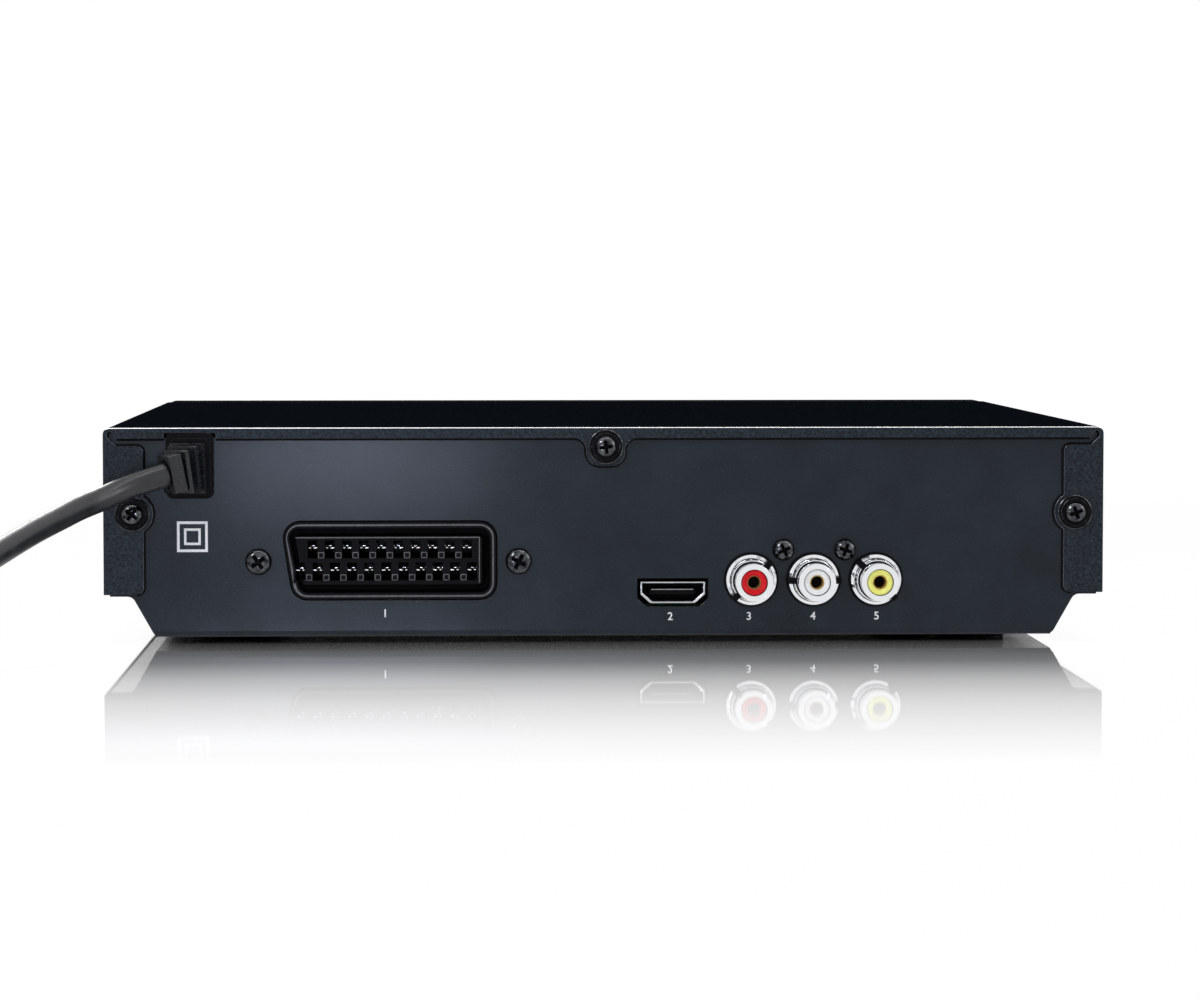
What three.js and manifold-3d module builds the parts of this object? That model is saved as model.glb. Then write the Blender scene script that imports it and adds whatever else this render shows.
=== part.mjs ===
// A compact dvd player with a captive mains lead, as an assembly of its separate pieces.
// Millimetres, +Z up. The disc tray opens towards -Y and the sockets face +Y.

import * as THREE from 'three';
import { mergeVertices } from 'three/addons/utils/BufferGeometryUtils.js';
import Module from 'manifold-3d';

const wasm = await Module();
wasm.setup();

// The whole player
const bodyWidth = 225;
const bodyHeight = 47.1;
const bodyDepth = 200;
const sheet = 1;
const gap = 0.3;
const touch = 0.1;
const overrun = 2;

// Feet
const footHeight = 1.5;
const footRadius = 8;
const footEdge = 0.4;
const footInsetSide = 24.5;
const footInsetFront = 20;
const footInsetRear = 40.5;

// Chassis pan
const floorInset = 11.5;
const ledgeInset = 6.3;
const ledgeRise = 9.2;
const panCorner = 2;
const panBend = 1.6;
const panSideRise = 22;
const panFrontRise = 4;
const panLap = 3;
const ventLength = 22;
const ventWidth = 2.4;
const ventPitch = 5;
const ventCount = 7;
const ventRowStep = 30;
const ventRows = 2;
const ventInset = 34.5;
const ventY = -20;

// Top cover
const coverBend = 1.5;
const skirtRise = 9.65;
const flangeGap = 0.2;
const lipHeight = 2.5;
const lipMitreLow = 3.1;
const lipMitreHigh = 1.4;
const lipTabHalf = 4.4;
const lipTabFillet = 2.6;
const flangeWidth = 9;
const flangeTopDrop = 4;
const flangeMitre = 2.9;
const flangeMitreRise = 2.3;
const flangeTopRound = 1.5;
const flangeFootRound = 1.7;
const flangeTabRadius = 4.7;

// Cover screws
const topScrewDrop = 4.35;
const sideScrewInset = 6.5;
const sideScrewRise = 27.8;
const coverScrewHead = 2.45;
const coverScrewWasher = 3.4;
const screwHeadHeight = 1.8;
const screwWasherHeight = 0.6;
const screwShank = 1.3;
const screwLength = 6;
const screwDriveWidth = 0.55;
const screwDriveDepth = 1;
const screwDriveShare = 0.62;
const screwStepsShare = 0.75;
const domeShare = 0.7;

// Front panel
const panelDepth = 14;
const panelWall = 2.5;
const panelCorner = 2.5;
const bossRadius = 2.5;

// Display window
const windowWidth = 46;
const windowHeight = 13;
const windowInset = 37.5;
const windowDrop = 14.1;
const windowCorner = 1.5;
const windowFlange = 2;
const windowFlangeThickness = 1;

// Buttons
const buttonWidth = 10;
const buttonHeight = 5.4;
const buttonCorner = 2.6;
const buttonProud = 1;
const buttonTravel = 0.8;
const buttonFlange = 1;
const buttonFlangeThickness = 1;
const buttonStem = 1.3;
const buttonRise = 14;
const buttonPitch = 12.4;
const lastButtonInset = 11.3;
const switchHeight = 2;
const switchSide = 5;

// Display tube behind its window
const displayDepth = 4;

// Media socket in the front panel
const mediaInset = 62.5;
const mediaWidth = 13.2;
const mediaHeight = 5.8;
const mediaWall = 0.5;
const mediaLength = 14;
const mediaSetback = 0.6;
const mediaTongueWidth = 11;
const mediaTongueThickness = 1.8;
const mediaTongueSetback = 1.5;
const mediaTongueGap = 0.9;

// Front board
const boardThickness = 1.6;
const frontBoardInset = 4.5;
const frontBoardWidth = 66;
const frontBoardTopDrop = 5.1;
const frontBoardRise = 4;
const frontBoardSetback = 9;
const bossInset = 3.5;

// Disc tray
const trayInset = 18.5;
const trayWidth = 128;
const trayLength = 146;
const trayThickness = 5.5;
const trayTopRise = 31.5;
const trayCorner = 4;
const discRadius = 61;
const discRecess = 3;
const smallDiscRadius = 41;
const smallDiscRecess = 0.8;
const discFromFront = 68;
const slotWidth = 46;
const slotFront = 22;
const slotRear = 60;
const slotCorner = 6;

// Tray door
const doorWidth = 136;
const doorHeight = 14;
const doorThickness = 3.2;
const doorCorner = 1.5;

// Gears
const rackModule = 1.25;
const trayGearTeeth = 16;
const pinionTeeth = 10;
const rackTeeth = 35;
const rackWidth = 3.6;
const rackHeight = 4.2;
const rackInset = 3;
const addendumShare = 0.8;
const dedendumShare = 1.15;
const toothRootShare = 0.26;
const toothTipShare = 0.12;
const gearFromFront = 16;
const gearHeight = 5.4;
const gearUnderTray = 0.9;
const postRadius = 1.5;
const postHeadRoom = 0.8;

// Belt drive
const pulleyRadius = 12.5;
const pulleyHeight = 3.6;
const pulleyRise = 15.5;
const pulleyGroove = 1.6;
const pulleyGrooveEdge = 0.7;
const motorPulleyRadius = 4.6;
const beltThickness = 1.1;
const beltHeight = 1.4;
const motorFromPulley = 40;
const motorRadius = 10.5;
const motorHeight = 11;
const motorShaft = 1;

// Loader frame
const frameWall = 2.6;
const frameRise = 4.5;
const frameFloor = 2;
const frameLength = 150;
const frameSetback = 5;
const frameTopAboveTray = 3;
const frameLedge = 3;
const frameLedgeHeight = 2;
const frontFloorLength = 38;
const rearFloorLength = 26;
const floorStrip = 12;
const frameFootRadius = 4;
const frameFootInset = 8;

// Clamp bridge and clamper
const bridgeWidth = 44;
const bridgeThickness = 1.2;
const bridgeRib = 2.4;
const clampHole = 12.6;
const clampNeck = 12;
const clampFlange = 15;
const clampFlangeHeight = 1.8;
const clampReach = 2.9;
const clampBore = 8.2;
const clampBoreDepth = 2.6;

// Deck with its drive
const deckTilt = 6.5;
const hingeFromDisc = 72;
const hingeRise = 20.5;
const hingeRadius = 2;
const hingeLength = 5;
const hingeEar = 3;
const deckWidth = 92;
const deckFront = 20;
const deckRear = 5;
const deckTopUnderTray = 1;
const deckThickness = 2;
const deckRib = 5;
const deckRibWall = 2;
const deckSlotHalf = 22;
const deckSlotFront = 15;
const deckSlotRear = 67;
const spindleHole = 4.6;
const spindleBoss = 4;
const spindleMotorRadius = 12.5;
const spindleMotorHeight = 6;
const turntableTop = 3.6;
const turntableRadius = 14;
const turntableThickness = 2;
const hubRadius = 7.3;
const hubHeight = 2.4;
const hubTipRadius = 5.6;

// Pickup sled
const sledRest = 24;
const sledLength = 18;
const sledHalfWidth = 17;
const sledHeight = 7;
const sledTopUnderDeck = 0.6;
const lensRadius = 3.6;
const lensRise = 3;
const rodRadius = 1.5;
const rodSpread = 19;
const rodDrop = 5;
const rodFront = 10;
const rodRear = 69;
const rodBlockLength = 5;
const sledArm = 6;
const sledModule = 0.8;
const sledGearTeeth = 15;
const sledGearHeight = 3;
const sledGearY = 25;
const sledRackTeeth = 16;
const sledRackWidth = 1.6;
const sledMotorRadius = 6;
const sledMotorLength = 20;
const sledMotorGap = 1;

// Rear sockets: the wide socket
const wideX = 48.75;
const wideRise = 17.2;
const wideWidth = 48.25;
const wideHeight = 17.4;
const wideCorner = 3.6;
const wideSlant = 2.8;
const wideProud = 0.7;
const wideWall = 1.4;
const wideDepth = 22;
const wideChannelDepth = 9;
const wideBlockWidth = 41.9;
const wideBlockHeight = 10.9;
const wideBlockSlant = 1.8;
const wideBlockCorner = 0.8;
const wideBlockSetback = 0.6;
const wideEarReach = 9.875;
const wideEarWidth = wideWidth + 2 * wideEarReach;
const wideEarThickness = 5;
const wideEarHeight = 15;
const wideScrewReach = 5.075;
const wideScrewSpread = wideWidth + 2 * wideScrewReach;
const wideScrewRise = 17;
const wideScrewHead = 2.9;
const contactPitch = 3.85;
const contactShiftAbove = -0.25;
const contactShiftBelow = 0.55;
const contactsAbove = 10;
const contactsBelow = 11;
const cellWidth = 2.2;
const cellHeight = 4.1;
const cellRise = 2.5;
const contactWidth = 1.7;
const contactThickness = 0.45;
const contactSetback = 1.2;
const contactLift = 0.4;
const combThickness = 3;
const combRecess = 4;
const combHalf = 21.5;
const combHeight = 10;

// Rear sockets: the small digital socket
const digitalX = -15.2;
const digitalRise = 9.75;
const digitalWidth = 14.7;
const digitalHeight = 5;
const digitalChamferX = 2.3;
const digitalChamferZ = 2;
const digitalWall = 0.45;
const digitalMargin = 0.75;
const digitalLength = 11;
const digitalSetback = 0.6;
const digitalTongueWidth = 10.4;
const digitalTongueHeight = 1.3;
const digitalTongueSetback = 2.2;
const digitalTongueBase = 2;

// Rear sockets: the three phono jacks
const phonoX = -46.95;
const phonoRise = 12.65;
const phonoPitch = 14.1;
const phonoCount = 3;
const phonoReach = 10;
const phonoRing = 5.65;
const phonoRingHeight = 1.2;
const phonoStep = 4.8;
const phonoStepHeight = 3.4;
const phonoBarrel = 4.15;
const phonoTail = 3;
const phonoBore = 3.1;
const phonoInsulator = 2.85;
const phonoInsulatorSetback = 0.5;
const phonoHole = 1.65;
const phonoHoleDepth = 8;
const phonoSlotWidth = 2.2;
const phonoSlotDepth = 1.1;
const phonoSlotTurns = [130, 0, 40];
const phonoBlockMargin = 8;
const phonoBlockTop = 10;
const phonoBlockDepth = 13;
const phonoScrewHead = 2.4;
const phonoScrewSpread = 13.9;
const phonoScrewX = -47.1;
const phonoScrewRise = 19.4;

// Rear boards
const boardRise = 5.2;
const mainBoardInset = 34.5;
const mainBoardDepth = 34;
const boardSetback = 2;
const chipSide = 20;
const chipHeight = 2.2;
const chipX = 4;
const chipSetback = 16;
const standoffRadius = 2.6;
const standoffInset = 4;
const powerBoardInset = 11.5;
const powerBoardWidth = 49;
const powerBoardLength = 108;
const powerBoardGap = 6;
const transformerWidth = 24;
const transformerLength = 28;
const transformerHeight = 20;
const transformerCore = 6;
const transformerInset = 12;
const capacitorRadius = 8;
const capacitorHeight = 25;
const capacitorInset = 30;
const capacitorRim = 0.8;

// Strain relief and mains lead
const reliefX = 93.1;
const reliefRise = 38.4;
const reliefPlateWidth = 10.8;
const reliefPlateHeight = 14.3;
const reliefPlateCorner = 1.6;
const reliefPlateThickness = 1.6;
const reliefCoreWidth = 5.6;
const reliefCoreHeight = 7.5;
const reliefBendX = 0;
const reliefBendY = 6.3;
const reliefBendDrop = 0.35;
const reliefMouthWidth = 6.6;
const reliefMouthHeight = 8.4;
const reliefMouthLength = 3;
const reliefRibThickness = 1.1;
const reliefRibShares = [0.3, 0.5, 0.7];
const reliefRibWidths = [8, 7.4, 6.8];
const reliefRibHeights = [11.2, 10.6, 9.6];
const reliefSteps = 8;
const reliefPlugLength = 9.5;
const reliefPlugMargin = 0.7;
const leadDiameter = 5.4;
const leadSides = 10;
const leadSteps = 22;

// Coil of the lead, its loops in two layers
const coilMiddle = 29.5;
const coilPitch = 6.3;
const coilTurns = 7.25;
const coilClimbTurns = 0.5;
const coilRunOut = 8;
const coilRunOutTurns = 0.25;
const coilLift = 0.5;
const coilStepsPerTurn = 24;
const coilSides = 6;
const coilX = 187;
const coilBehind = 43;
const tieWidth = 5;
const tieThickness = 0.4;

// Mains plug
const plugLength = 34;
const plugWidth = 26;
const plugNeckWidth = 13;
const plugNeckStart = 18;
const plugThickness = 13.6;
const plugCorner = 4;
const plugPinSpread = 18.6;
const plugPinRadius = 2;
const plugPinLength = 19;
const plugTailLength = 12;
const plugTailRadius = 4.4;
const plugTailTip = 3.4;

// Places that follow from the sizes
const half = bodyWidth / 2;
const floorHalf = half - floorInset;
const ledgeHalf = half - ledgeInset;
const sideScrewX = half - sideScrewInset;
const ventX = half - ventInset;
const windowX = half - windowInset;
const mediaX = half - mediaInset;
const frontBoardX = half - frontBoardInset - frontBoardWidth;
const trayX = -half + trayInset + trayWidth / 2;
const powerBoardX = half - powerBoardInset - powerBoardWidth;
const mainBoardHalf = half - mainBoardInset;
const underZ = footHeight;
const topZ = underZ + bodyHeight;
const frontY = -(bodyDepth + phonoReach - buttonProud) / 2;
const rearY = frontY + bodyDepth;
const floorZ = underZ + sheet;
const ledgeZ = underZ + ledgeRise;
const skirtZ = underZ + skirtRise;
const shellFrontY = frontY + panelDepth + gap;
const wallHalf = half - sheet - gap;
const wallTopZ = topZ - sheet - gap;
const wallInnerY = rearY - sheet;
const flangeY = rearY + flangeGap;
const flangeFaceY = flangeY + sheet;
const topScrewZ = topZ - topScrewDrop;
const sideScrewZ = underZ + sideScrewRise;
const boardZ = underZ + boardRise;
const boardTopZ = boardZ + boardThickness;

// Materials in the colours of the photograph
const finish = (color, roughness, metalness) =>
  new THREE.MeshStandardMaterial({ color, roughness, metalness });
const paintedSteel = finish(0x10161b, 0.6, 0.3);
const satinSteel = finish(0x3a4049, 0.5, 0.4);
const blackPlastic = finish(0x14171a, 0.5, 0);
const glossPlastic = finish(0x0a0c0e, 0.15, 0);
const darkLens = finish(0x050608, 0.05, 0);
const blackRubber = finish(0x0d0e10, 0.7, 0);
const brightMetal = finish(0xc9cdd0, 0.25, 1);
const darkMetal = finish(0x55585c, 0.35, 1);
const greenBoard = finish(0x1f5a38, 0.55, 0);
const whitePlastic = finish(0xe9e9e6, 0.4, 0);
const redPlastic = finish(0xc4151c, 0.35, 0);
const yellowPlastic = finish(0xf0ec82, 0.35, 0);
const greyPlastic = finish(0x8c8f92, 0.5, 0);
const motorSteel = finish(0x9a9da0, 0.35, 0.9);
const copperBrown = finish(0x8a5a2c, 0.5, 0.2);
const trayGrey = finish(0x23262a, 0.5, 0);

// Number of straight pieces in a rounded corner and round a cylinder
const cornerSteps = 3;
const roundSteps = 16;
const holeSteps = 10;
const postSteps = 8;
const beltSteps = 8;

// A closed mesh as a solid that can be cut and joined
function solid(geometry) {
  const bare = geometry.clone();
  bare.deleteAttribute('normal');
  bare.deleteAttribute('uv');
  const merged = mergeVertices(bare);
  const vertProperties = merged.attributes.position.array;
  const triVerts = Uint32Array.from(merged.index.array);
  return new wasm.Manifold(new wasm.Mesh({ numProp: 3, vertProperties, triVerts }));
}

// A solid back as a geometry
function geometryOf(body) {
  const { vertProperties, triVerts } = body.getMesh();
  const geometry = new THREE.BufferGeometry();
  geometry.setAttribute('position', new THREE.BufferAttribute(vertProperties, 3));
  geometry.setIndex(new THREE.BufferAttribute(triVerts, 1));
  geometry.computeVertexNormals();
  return geometry;
}

const join = (bodies) => bodies.reduce((whole, body) => whole.add(body));
const cut = (whole, bodies) => bodies.reduce((rest, body) => rest.subtract(body), whole);

// A closed outline whose points are [across, up, radius of the rounded corner]
function outline(points) {
  const shape = new THREE.Shape();
  points.forEach(([x, y, radius = 0], index) => {
    const corner = new THREE.Vector2(x, y);
    const back = new THREE.Vector2(...points.at(index - 1).slice(0, 2)).sub(corner).normalize();
    const next = points[(index + 1) % points.length];
    const ahead = new THREE.Vector2(...next.slice(0, 2)).sub(corner).normalize();
    if (radius <= 0) {
      if (index === 0) shape.moveTo(x, y);
      else shape.lineTo(x, y);
      return;
    }
    const halfAngle = back.angleTo(ahead) > Math.PI
      ? (2 * Math.PI - back.angleTo(ahead)) / 2
      : back.angleTo(ahead) / 2;
    const run = radius / Math.tan(halfAngle);
    const away = radius / Math.sin(halfAngle);
    const centre = back.clone().add(ahead).normalize().multiplyScalar(away).add(corner);
    const from = back.clone().multiplyScalar(run).add(corner).sub(centre);
    const to = ahead.clone().multiplyScalar(run).add(corner).sub(centre);
    const clockwise = back.cross(ahead) > 0;
    const start = from.clone().add(centre);
    if (index > 0 && shape.curves.length === 0) shape.lineTo(start.x, start.y);
    shape.absarc(centre.x, centre.y, radius, from.angle(), to.angle(), clockwise);
  });
  return shape;
}

// Outlines drawn in one plane and drawn out square to it
function drawnOut(shape, depth, axes, steps) {
  const geometry = new THREE.ExtrudeGeometry(shape, { depth, bevelEnabled: false, curveSegments: steps });
  return geometry.applyMatrix4(new THREE.Matrix4().makeBasis(...axes));
}
const alongX = new THREE.Vector3(1, 0, 0);
const alongY = new THREE.Vector3(0, 1, 0);
const alongZ = new THREE.Vector3(0, 0, 1);

// An outline seen from behind or in front, between two depths
function upright(shape, fromY, toY, steps = cornerSteps) {
  const axes = [alongX, alongZ, alongY.clone().negate()];
  return solid(drawnOut(shape, toY - fromY, axes, steps).translate(0, toY, 0));
}

// An outline seen from above, between two heights
function flat(shape, fromZ, toZ, steps = cornerSteps) {
  return solid(drawnOut(shape, toZ - fromZ, [alongX, alongY, alongZ], steps).translate(0, 0, fromZ));
}

// An outline seen from the side, between two places across the player
function sideways(shape, fromX, toX, steps = cornerSteps) {
  return solid(drawnOut(shape, toX - fromX, [alongY, alongZ, alongX], steps).translate(fromX, 0, 0));
}

function block(fromX, toX, fromY, toY, fromZ, toZ) {
  const geometry = new THREE.BoxGeometry(toX - fromX, toY - fromY, toZ - fromZ);
  return solid(geometry.translate((fromX + toX) / 2, (fromY + toY) / 2, (fromZ + toZ) / 2));
}

// Round bars along each direction
function rodY(x, z, fromY, toY, radius, sides = roundSteps) {
  const geometry = new THREE.CylinderGeometry(radius, radius, toY - fromY, sides);
  return solid(geometry.translate(x, (fromY + toY) / 2, z));
}
function rodZ(x, y, fromZ, toZ, radius, sides = roundSteps) {
  const geometry = new THREE.CylinderGeometry(radius, radius, toZ - fromZ, sides).rotateX(Math.PI / 2);
  return solid(geometry.translate(x, y, (fromZ + toZ) / 2));
}
function rodX(y, z, fromX, toX, radius, sides = roundSteps) {
  const geometry = new THREE.CylinderGeometry(radius, radius, toX - fromX, sides).rotateZ(Math.PI / 2);
  return solid(geometry.translate((fromX + toX) / 2, y, z));
}

// Turned pieces from a profile of [radius, place along the axis]
function turned(profile, sides = roundSteps) {
  return new THREE.LatheGeometry(profile.map(([radius, along]) => new THREE.Vector2(radius, along)), sides);
}
const turnedY = (profile, x, z, sides) => solid(turned(profile, sides).translate(x, 0, z));
const turnedZ = (profile, x, y, sides) => (
  solid(turned(profile, sides).rotateX(Math.PI / 2).translate(x, y, 0))
);

// A rectangle between two corners with one radius
const rectangle = (fromX, toX, fromY, toY, radius = 0) => outline([
  [fromX, fromY, radius],
  [toX, fromY, radius],
  [toX, toY, radius],
  [fromX, toY, radius],
]);

const player = new THREE.Group();
function place(name, body, material, group = player) {
  const geometry = body instanceof THREE.BufferGeometry ? body : geometryOf(body);
  const mesh = new THREE.Mesh(geometry, material);
  mesh.name = name;
  group.add(mesh);
  return mesh;
}

// The wide socket's outline, with its upper outer corner drawn out, and a like one inside it
const wideZ = underZ + wideRise;
function wideOutline(width, height, slant, corner) {
  return outline([
    [wideX + width / 2, wideZ + height / 2, corner],
    [wideX - width / 2, wideZ + height / 2, corner],
    [wideX - width / 2, wideZ - height / 2, corner],
    [wideX + width / 2 - slant, wideZ - height / 2, corner],
  ]);
}
const wideInset = (inset) => wideOutline(
  wideWidth - 2 * inset,
  wideHeight - 2 * inset,
  wideSlant,
  wideCorner - inset,
);

// The digital socket's outline with its two lower corners cut off
const digitalZ = underZ + digitalRise;
function digitalOutline(margin) {
  const halfWidth = digitalWidth / 2 + margin;
  const halfHeight = digitalHeight / 2 + margin;
  return outline([
    [digitalX - halfWidth + digitalChamferX, digitalZ - halfHeight],
    [digitalX + halfWidth - digitalChamferX, digitalZ - halfHeight],
    [digitalX + halfWidth, digitalZ - halfHeight + digitalChamferZ],
    [digitalX + halfWidth, digitalZ + halfHeight],
    [digitalX - halfWidth, digitalZ + halfHeight],
    [digitalX - halfWidth, digitalZ - halfHeight + digitalChamferZ],
  ]);
}

// Places of the jacks, the screws and the boards' supports
const phonoZ = underZ + phonoRise;
const phonoPlaces = Array.from({ length: phonoCount }, (_, index) => phonoX + (index - 1) * phonoPitch);
const coverScrewPlaces = [[0, topScrewZ], [sideScrewX, sideScrewZ], [-sideScrewX, sideScrewZ]];
const wideScrewPlaces = [1, -1].map((side) => [wideX + side * wideScrewSpread / 2, underZ + wideScrewRise]);
const phonoScrewPlaces = [1, -1].map((side) => (
  [phonoScrewX + side * phonoScrewSpread / 2, underZ + phonoScrewRise]
));
const reliefZ = underZ + reliefRise;
const mainBoardRearY = wallInnerY - boardSetback;
const mainBoardFrontY = mainBoardRearY - mainBoardDepth;
const powerBoardRearY = mainBoardFrontY - powerBoardGap;
const powerBoardFrontY = powerBoardRearY - powerBoardLength;
const trayFrontY = frontY + doorThickness + gap;
const trayRearY = trayFrontY + trayLength;
const discY = trayFrontY + discFromFront;
const trayTopZ = underZ + trayTopRise;
const trayUnderZ = trayTopZ - trayThickness;
const frameZ = underZ + frameRise;
const frameFrontY = frontY + frameSetback;
const frameRearY = frameFrontY + frameLength;
const frameOuterHalf = trayWidth / 2 + gap + frameWall;
const frameFootPlaces = [-1, 1].flatMap((side) => [
  [trayX + side * (frameOuterHalf - frameFootInset), shellFrontY + frameFootInset],
  [trayX + side * (frameOuterHalf - frameFootInset), frameRearY - frameFootInset],
]);
const corners = (fromX, toX, fromY, toY) => [fromX, toX].flatMap((x) => [[x, fromY], [x, toY]]);
const mainStandoffs = corners(
  -mainBoardHalf + standoffInset,
  mainBoardHalf - standoffInset,
  mainBoardFrontY + standoffInset,
  mainBoardRearY - standoffInset,
);
const powerStandoffs = corners(
  powerBoardX + standoffInset,
  powerBoardX + powerBoardWidth - standoffInset,
  powerBoardFrontY + standoffInset,
  powerBoardRearY - standoffInset,
);

// Chassis: one pressed sheet with a flat floor, sloped sides and the socket wall at the rear
function makeChassis() {
  const silhouette = outline([
    [-floorHalf, underZ, panCorner],
    [floorHalf, underZ, panCorner],
    [ledgeHalf, ledgeZ, panCorner],
    [wallHalf, ledgeZ],
    [wallHalf, wallTopZ],
    [-wallHalf, wallTopZ],
    [-wallHalf, ledgeZ],
    [-ledgeHalf, ledgeZ, panCorner],
  ]);
  const frontTopZ = underZ + panFrontRise;
  const pan = outline([
    [rearY, underZ, panBend],
    [rearY, wallTopZ],
    [wallInnerY, wallTopZ],
    [wallInnerY, floorZ, panBend - sheet],
    [shellFrontY + sheet, floorZ, panBend - sheet],
    [shellFrontY + sheet, frontTopZ],
    [shellFrontY, frontTopZ],
    [shellFrontY, underZ, panBend],
  ]);
  const lean = (ledgeHalf - floorHalf) / ledgeRise;
  const slopeShift = sheet * (Math.hypot(1, lean) - lean);
  const sideTopZ = underZ + panSideRise;
  const sides = [-1, 1].map((side) => upright(outline([
    [side * floorHalf, underZ],
    [side * ledgeHalf, ledgeZ],
    [side * wallHalf, ledgeZ],
    [side * wallHalf, sideTopZ],
    [side * (wallHalf - sheet), sideTopZ],
    [side * (wallHalf - sheet), ledgeZ + sheet],
    [side * (ledgeHalf - slopeShift), ledgeZ + sheet],
    [side * (floorHalf - slopeShift), floorZ],
    [side * (floorHalf - panLap), floorZ],
    [side * (floorHalf - panLap), underZ],
  ]), shellFrontY + panBend, rearY - panBend));
  const body = sideways(pan, -wallHalf, wallHalf)
    .intersect(upright(silhouette, shellFrontY - overrun, rearY + overrun));
  const standoffs = [...mainStandoffs, ...powerStandoffs]
    .map(([x, y]) => rodZ(x, y, floorZ - sheet / 2, boardZ - touch, standoffRadius, postSteps));
  const frameFeet = frameFootPlaces
    .map(([x, y]) => rodZ(x, y, floorZ - sheet / 2, frameZ - touch, frameFootRadius, postSteps));
  const ventSlots = Array.from({ length: ventCount * ventRows }, (_, index) => {
    const x = ventX + (index % ventCount - (ventCount - 1) / 2) * ventPitch;
    const y = ventY + (Math.floor(index / ventCount) - (ventRows - 1) / 2) * ventRowStep;
    const slot = rectangle(x - ventWidth / 2, x + ventWidth / 2, y - ventLength / 2, y + ventLength / 2);
    return flat(slot, underZ - overrun, floorZ + overrun);
  });
  const screwHoles = [...coverScrewPlaces, ...wideScrewPlaces, ...phonoScrewPlaces]
    .map(([x, z]) => rodY(x, z, wallInnerY - overrun, rearY + overrun, screwShank + gap, holeSteps));
  const socketHoles = [
    upright(wideInset(-gap), wallInnerY - overrun, rearY + overrun),
    upright(digitalOutline(digitalMargin), wallInnerY - overrun, rearY + overrun),
    ...phonoPlaces.map((x) => rodY(x, phonoZ, wallInnerY - overrun, rearY + overrun, phonoBarrel + gap)),
    block(
      reliefX - reliefPlateWidth / 2 + reliefPlugMargin,
      reliefX + reliefPlateWidth / 2 - reliefPlugMargin,
      wallInnerY - overrun,
      rearY + overrun,
      reliefZ - reliefPlateHeight / 2 + reliefPlugMargin,
      reliefZ + reliefPlateHeight / 2 - reliefPlugMargin,
    ),
  ];
  const whole = join([body, ...sides, ...standoffs, ...frameFeet]);
  return cut(whole, [...ventSlots, ...screwHoles, ...socketHoles]);
}
place('chassis', makeChassis(), satinSteel);

// Feet: four thin pads under the floor
const footPlaces = corners(
  -half + footInsetSide,
  half - footInsetSide,
  frontY + footInsetFront,
  rearY - footInsetRear,
);
const footProfile = [
  [0, 0],
  [footRadius - footEdge, 0],
  [footRadius, footEdge],
  [footRadius, footHeight],
  [0, footHeight],
];
footPlaces.forEach(([x, y], index) => place(`foot_${index + 1}`, turnedZ(footProfile, x, y), blackRubber));

// Top cover: one bent sheet with a lip and two flanges turned in over the socket wall
function makeCover() {
  const shell = outline([
    [-half, skirtZ],
    [-half, topZ, coverBend],
    [half, topZ, coverBend],
    [half, skirtZ],
    [half - sheet, skirtZ],
    [half - sheet, topZ - sheet, coverBend - sheet],
    [-half + sheet, topZ - sheet, coverBend - sheet],
    [-half + sheet, skirtZ],
  ]);
  const lipZ = topZ - lipHeight;
  const lip = outline([
    [-half + lipMitreLow, lipZ],
    [-lipTabHalf, lipZ, lipTabFillet],
    [-lipTabHalf, topScrewZ - lipTabHalf, lipTabHalf * domeShare],
    [lipTabHalf, topScrewZ - lipTabHalf, lipTabHalf * domeShare],
    [lipTabHalf, lipZ, lipTabFillet],
    [half - lipMitreLow, lipZ],
    [half - lipMitreHigh, topZ - sheet / 2],
    [-half + lipMitreHigh, topZ - sheet / 2],
  ]);
  const flangeTopZ = topZ - flangeTopDrop;
  const flanges = [-1, 1].map((side) => upright(outline([
    [side * (half - sheet / 2), skirtZ],
    [side * (half - sheet / 2), flangeTopZ + flangeMitreRise],
    [side * (half - flangeMitre), flangeTopZ],
    [side * (half - flangeWidth), flangeTopZ, flangeTopRound],
    [side * (half - flangeWidth), skirtZ, flangeFootRound],
  ]), flangeY, flangeFaceY));
  const tabs = [-1, 1].map((side) => (
    rodY(side * sideScrewX, sideScrewZ, flangeY, flangeFaceY, flangeTabRadius)
  ));
  const holes = coverScrewPlaces
    .map(([x, z]) => rodY(x, z, flangeY - overrun, flangeFaceY + overrun, screwShank + gap, holeSteps));
  const reliefNotch = block(
    reliefX - reliefPlateWidth / 2 - gap,
    reliefX + reliefPlateWidth / 2 + gap,
    flangeY - overrun,
    flangeFaceY + overrun,
    lipZ - overrun,
    reliefZ + reliefPlateHeight / 2 + gap,
  );
  const sheets = [upright(shell, shellFrontY, flangeFaceY), upright(lip, flangeY, flangeFaceY)];
  return cut(join([...sheets, ...flanges, ...tabs]), [...holes, reliefNotch]);
}
place('top_cover', makeCover(), paintedSteel);

// Screws: a washer, a domed head with a cross recess, and a plain shank
function makeScrew([x, z], seatY, headRadius, washerRadius) {
  const headY = screwWasherHeight + screwHeadHeight;
  const body = turnedY([
    [0, -screwLength],
    [screwShank, -screwLength],
    [screwShank, 0],
    [washerRadius, 0],
    [washerRadius, screwWasherHeight],
    [headRadius, screwWasherHeight],
    [headRadius, screwWasherHeight + screwHeadHeight / 2],
    [headRadius * domeShare, headY],
    [0, headY],
  ], 0, 0, roundSteps * screwStepsShare);
  const reach = headRadius * screwDriveShare;
  const arm = screwDriveWidth / 2;
  const drive = [
    block(-reach, reach, headY - screwDriveDepth, headY + overrun, -arm, arm),
    block(-arm, arm, headY - screwDriveDepth, headY + overrun, -reach, reach),
  ];
  return cut(body, drive).translate([x, seatY + touch, z]);
}
const coverScrewNames = ['cover_screw_top', 'cover_screw_left', 'cover_screw_right'];
coverScrewPlaces.forEach((spot, index) => {
  place(coverScrewNames[index], makeScrew(spot, flangeFaceY, coverScrewHead, coverScrewWasher), darkMetal);
});
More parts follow.
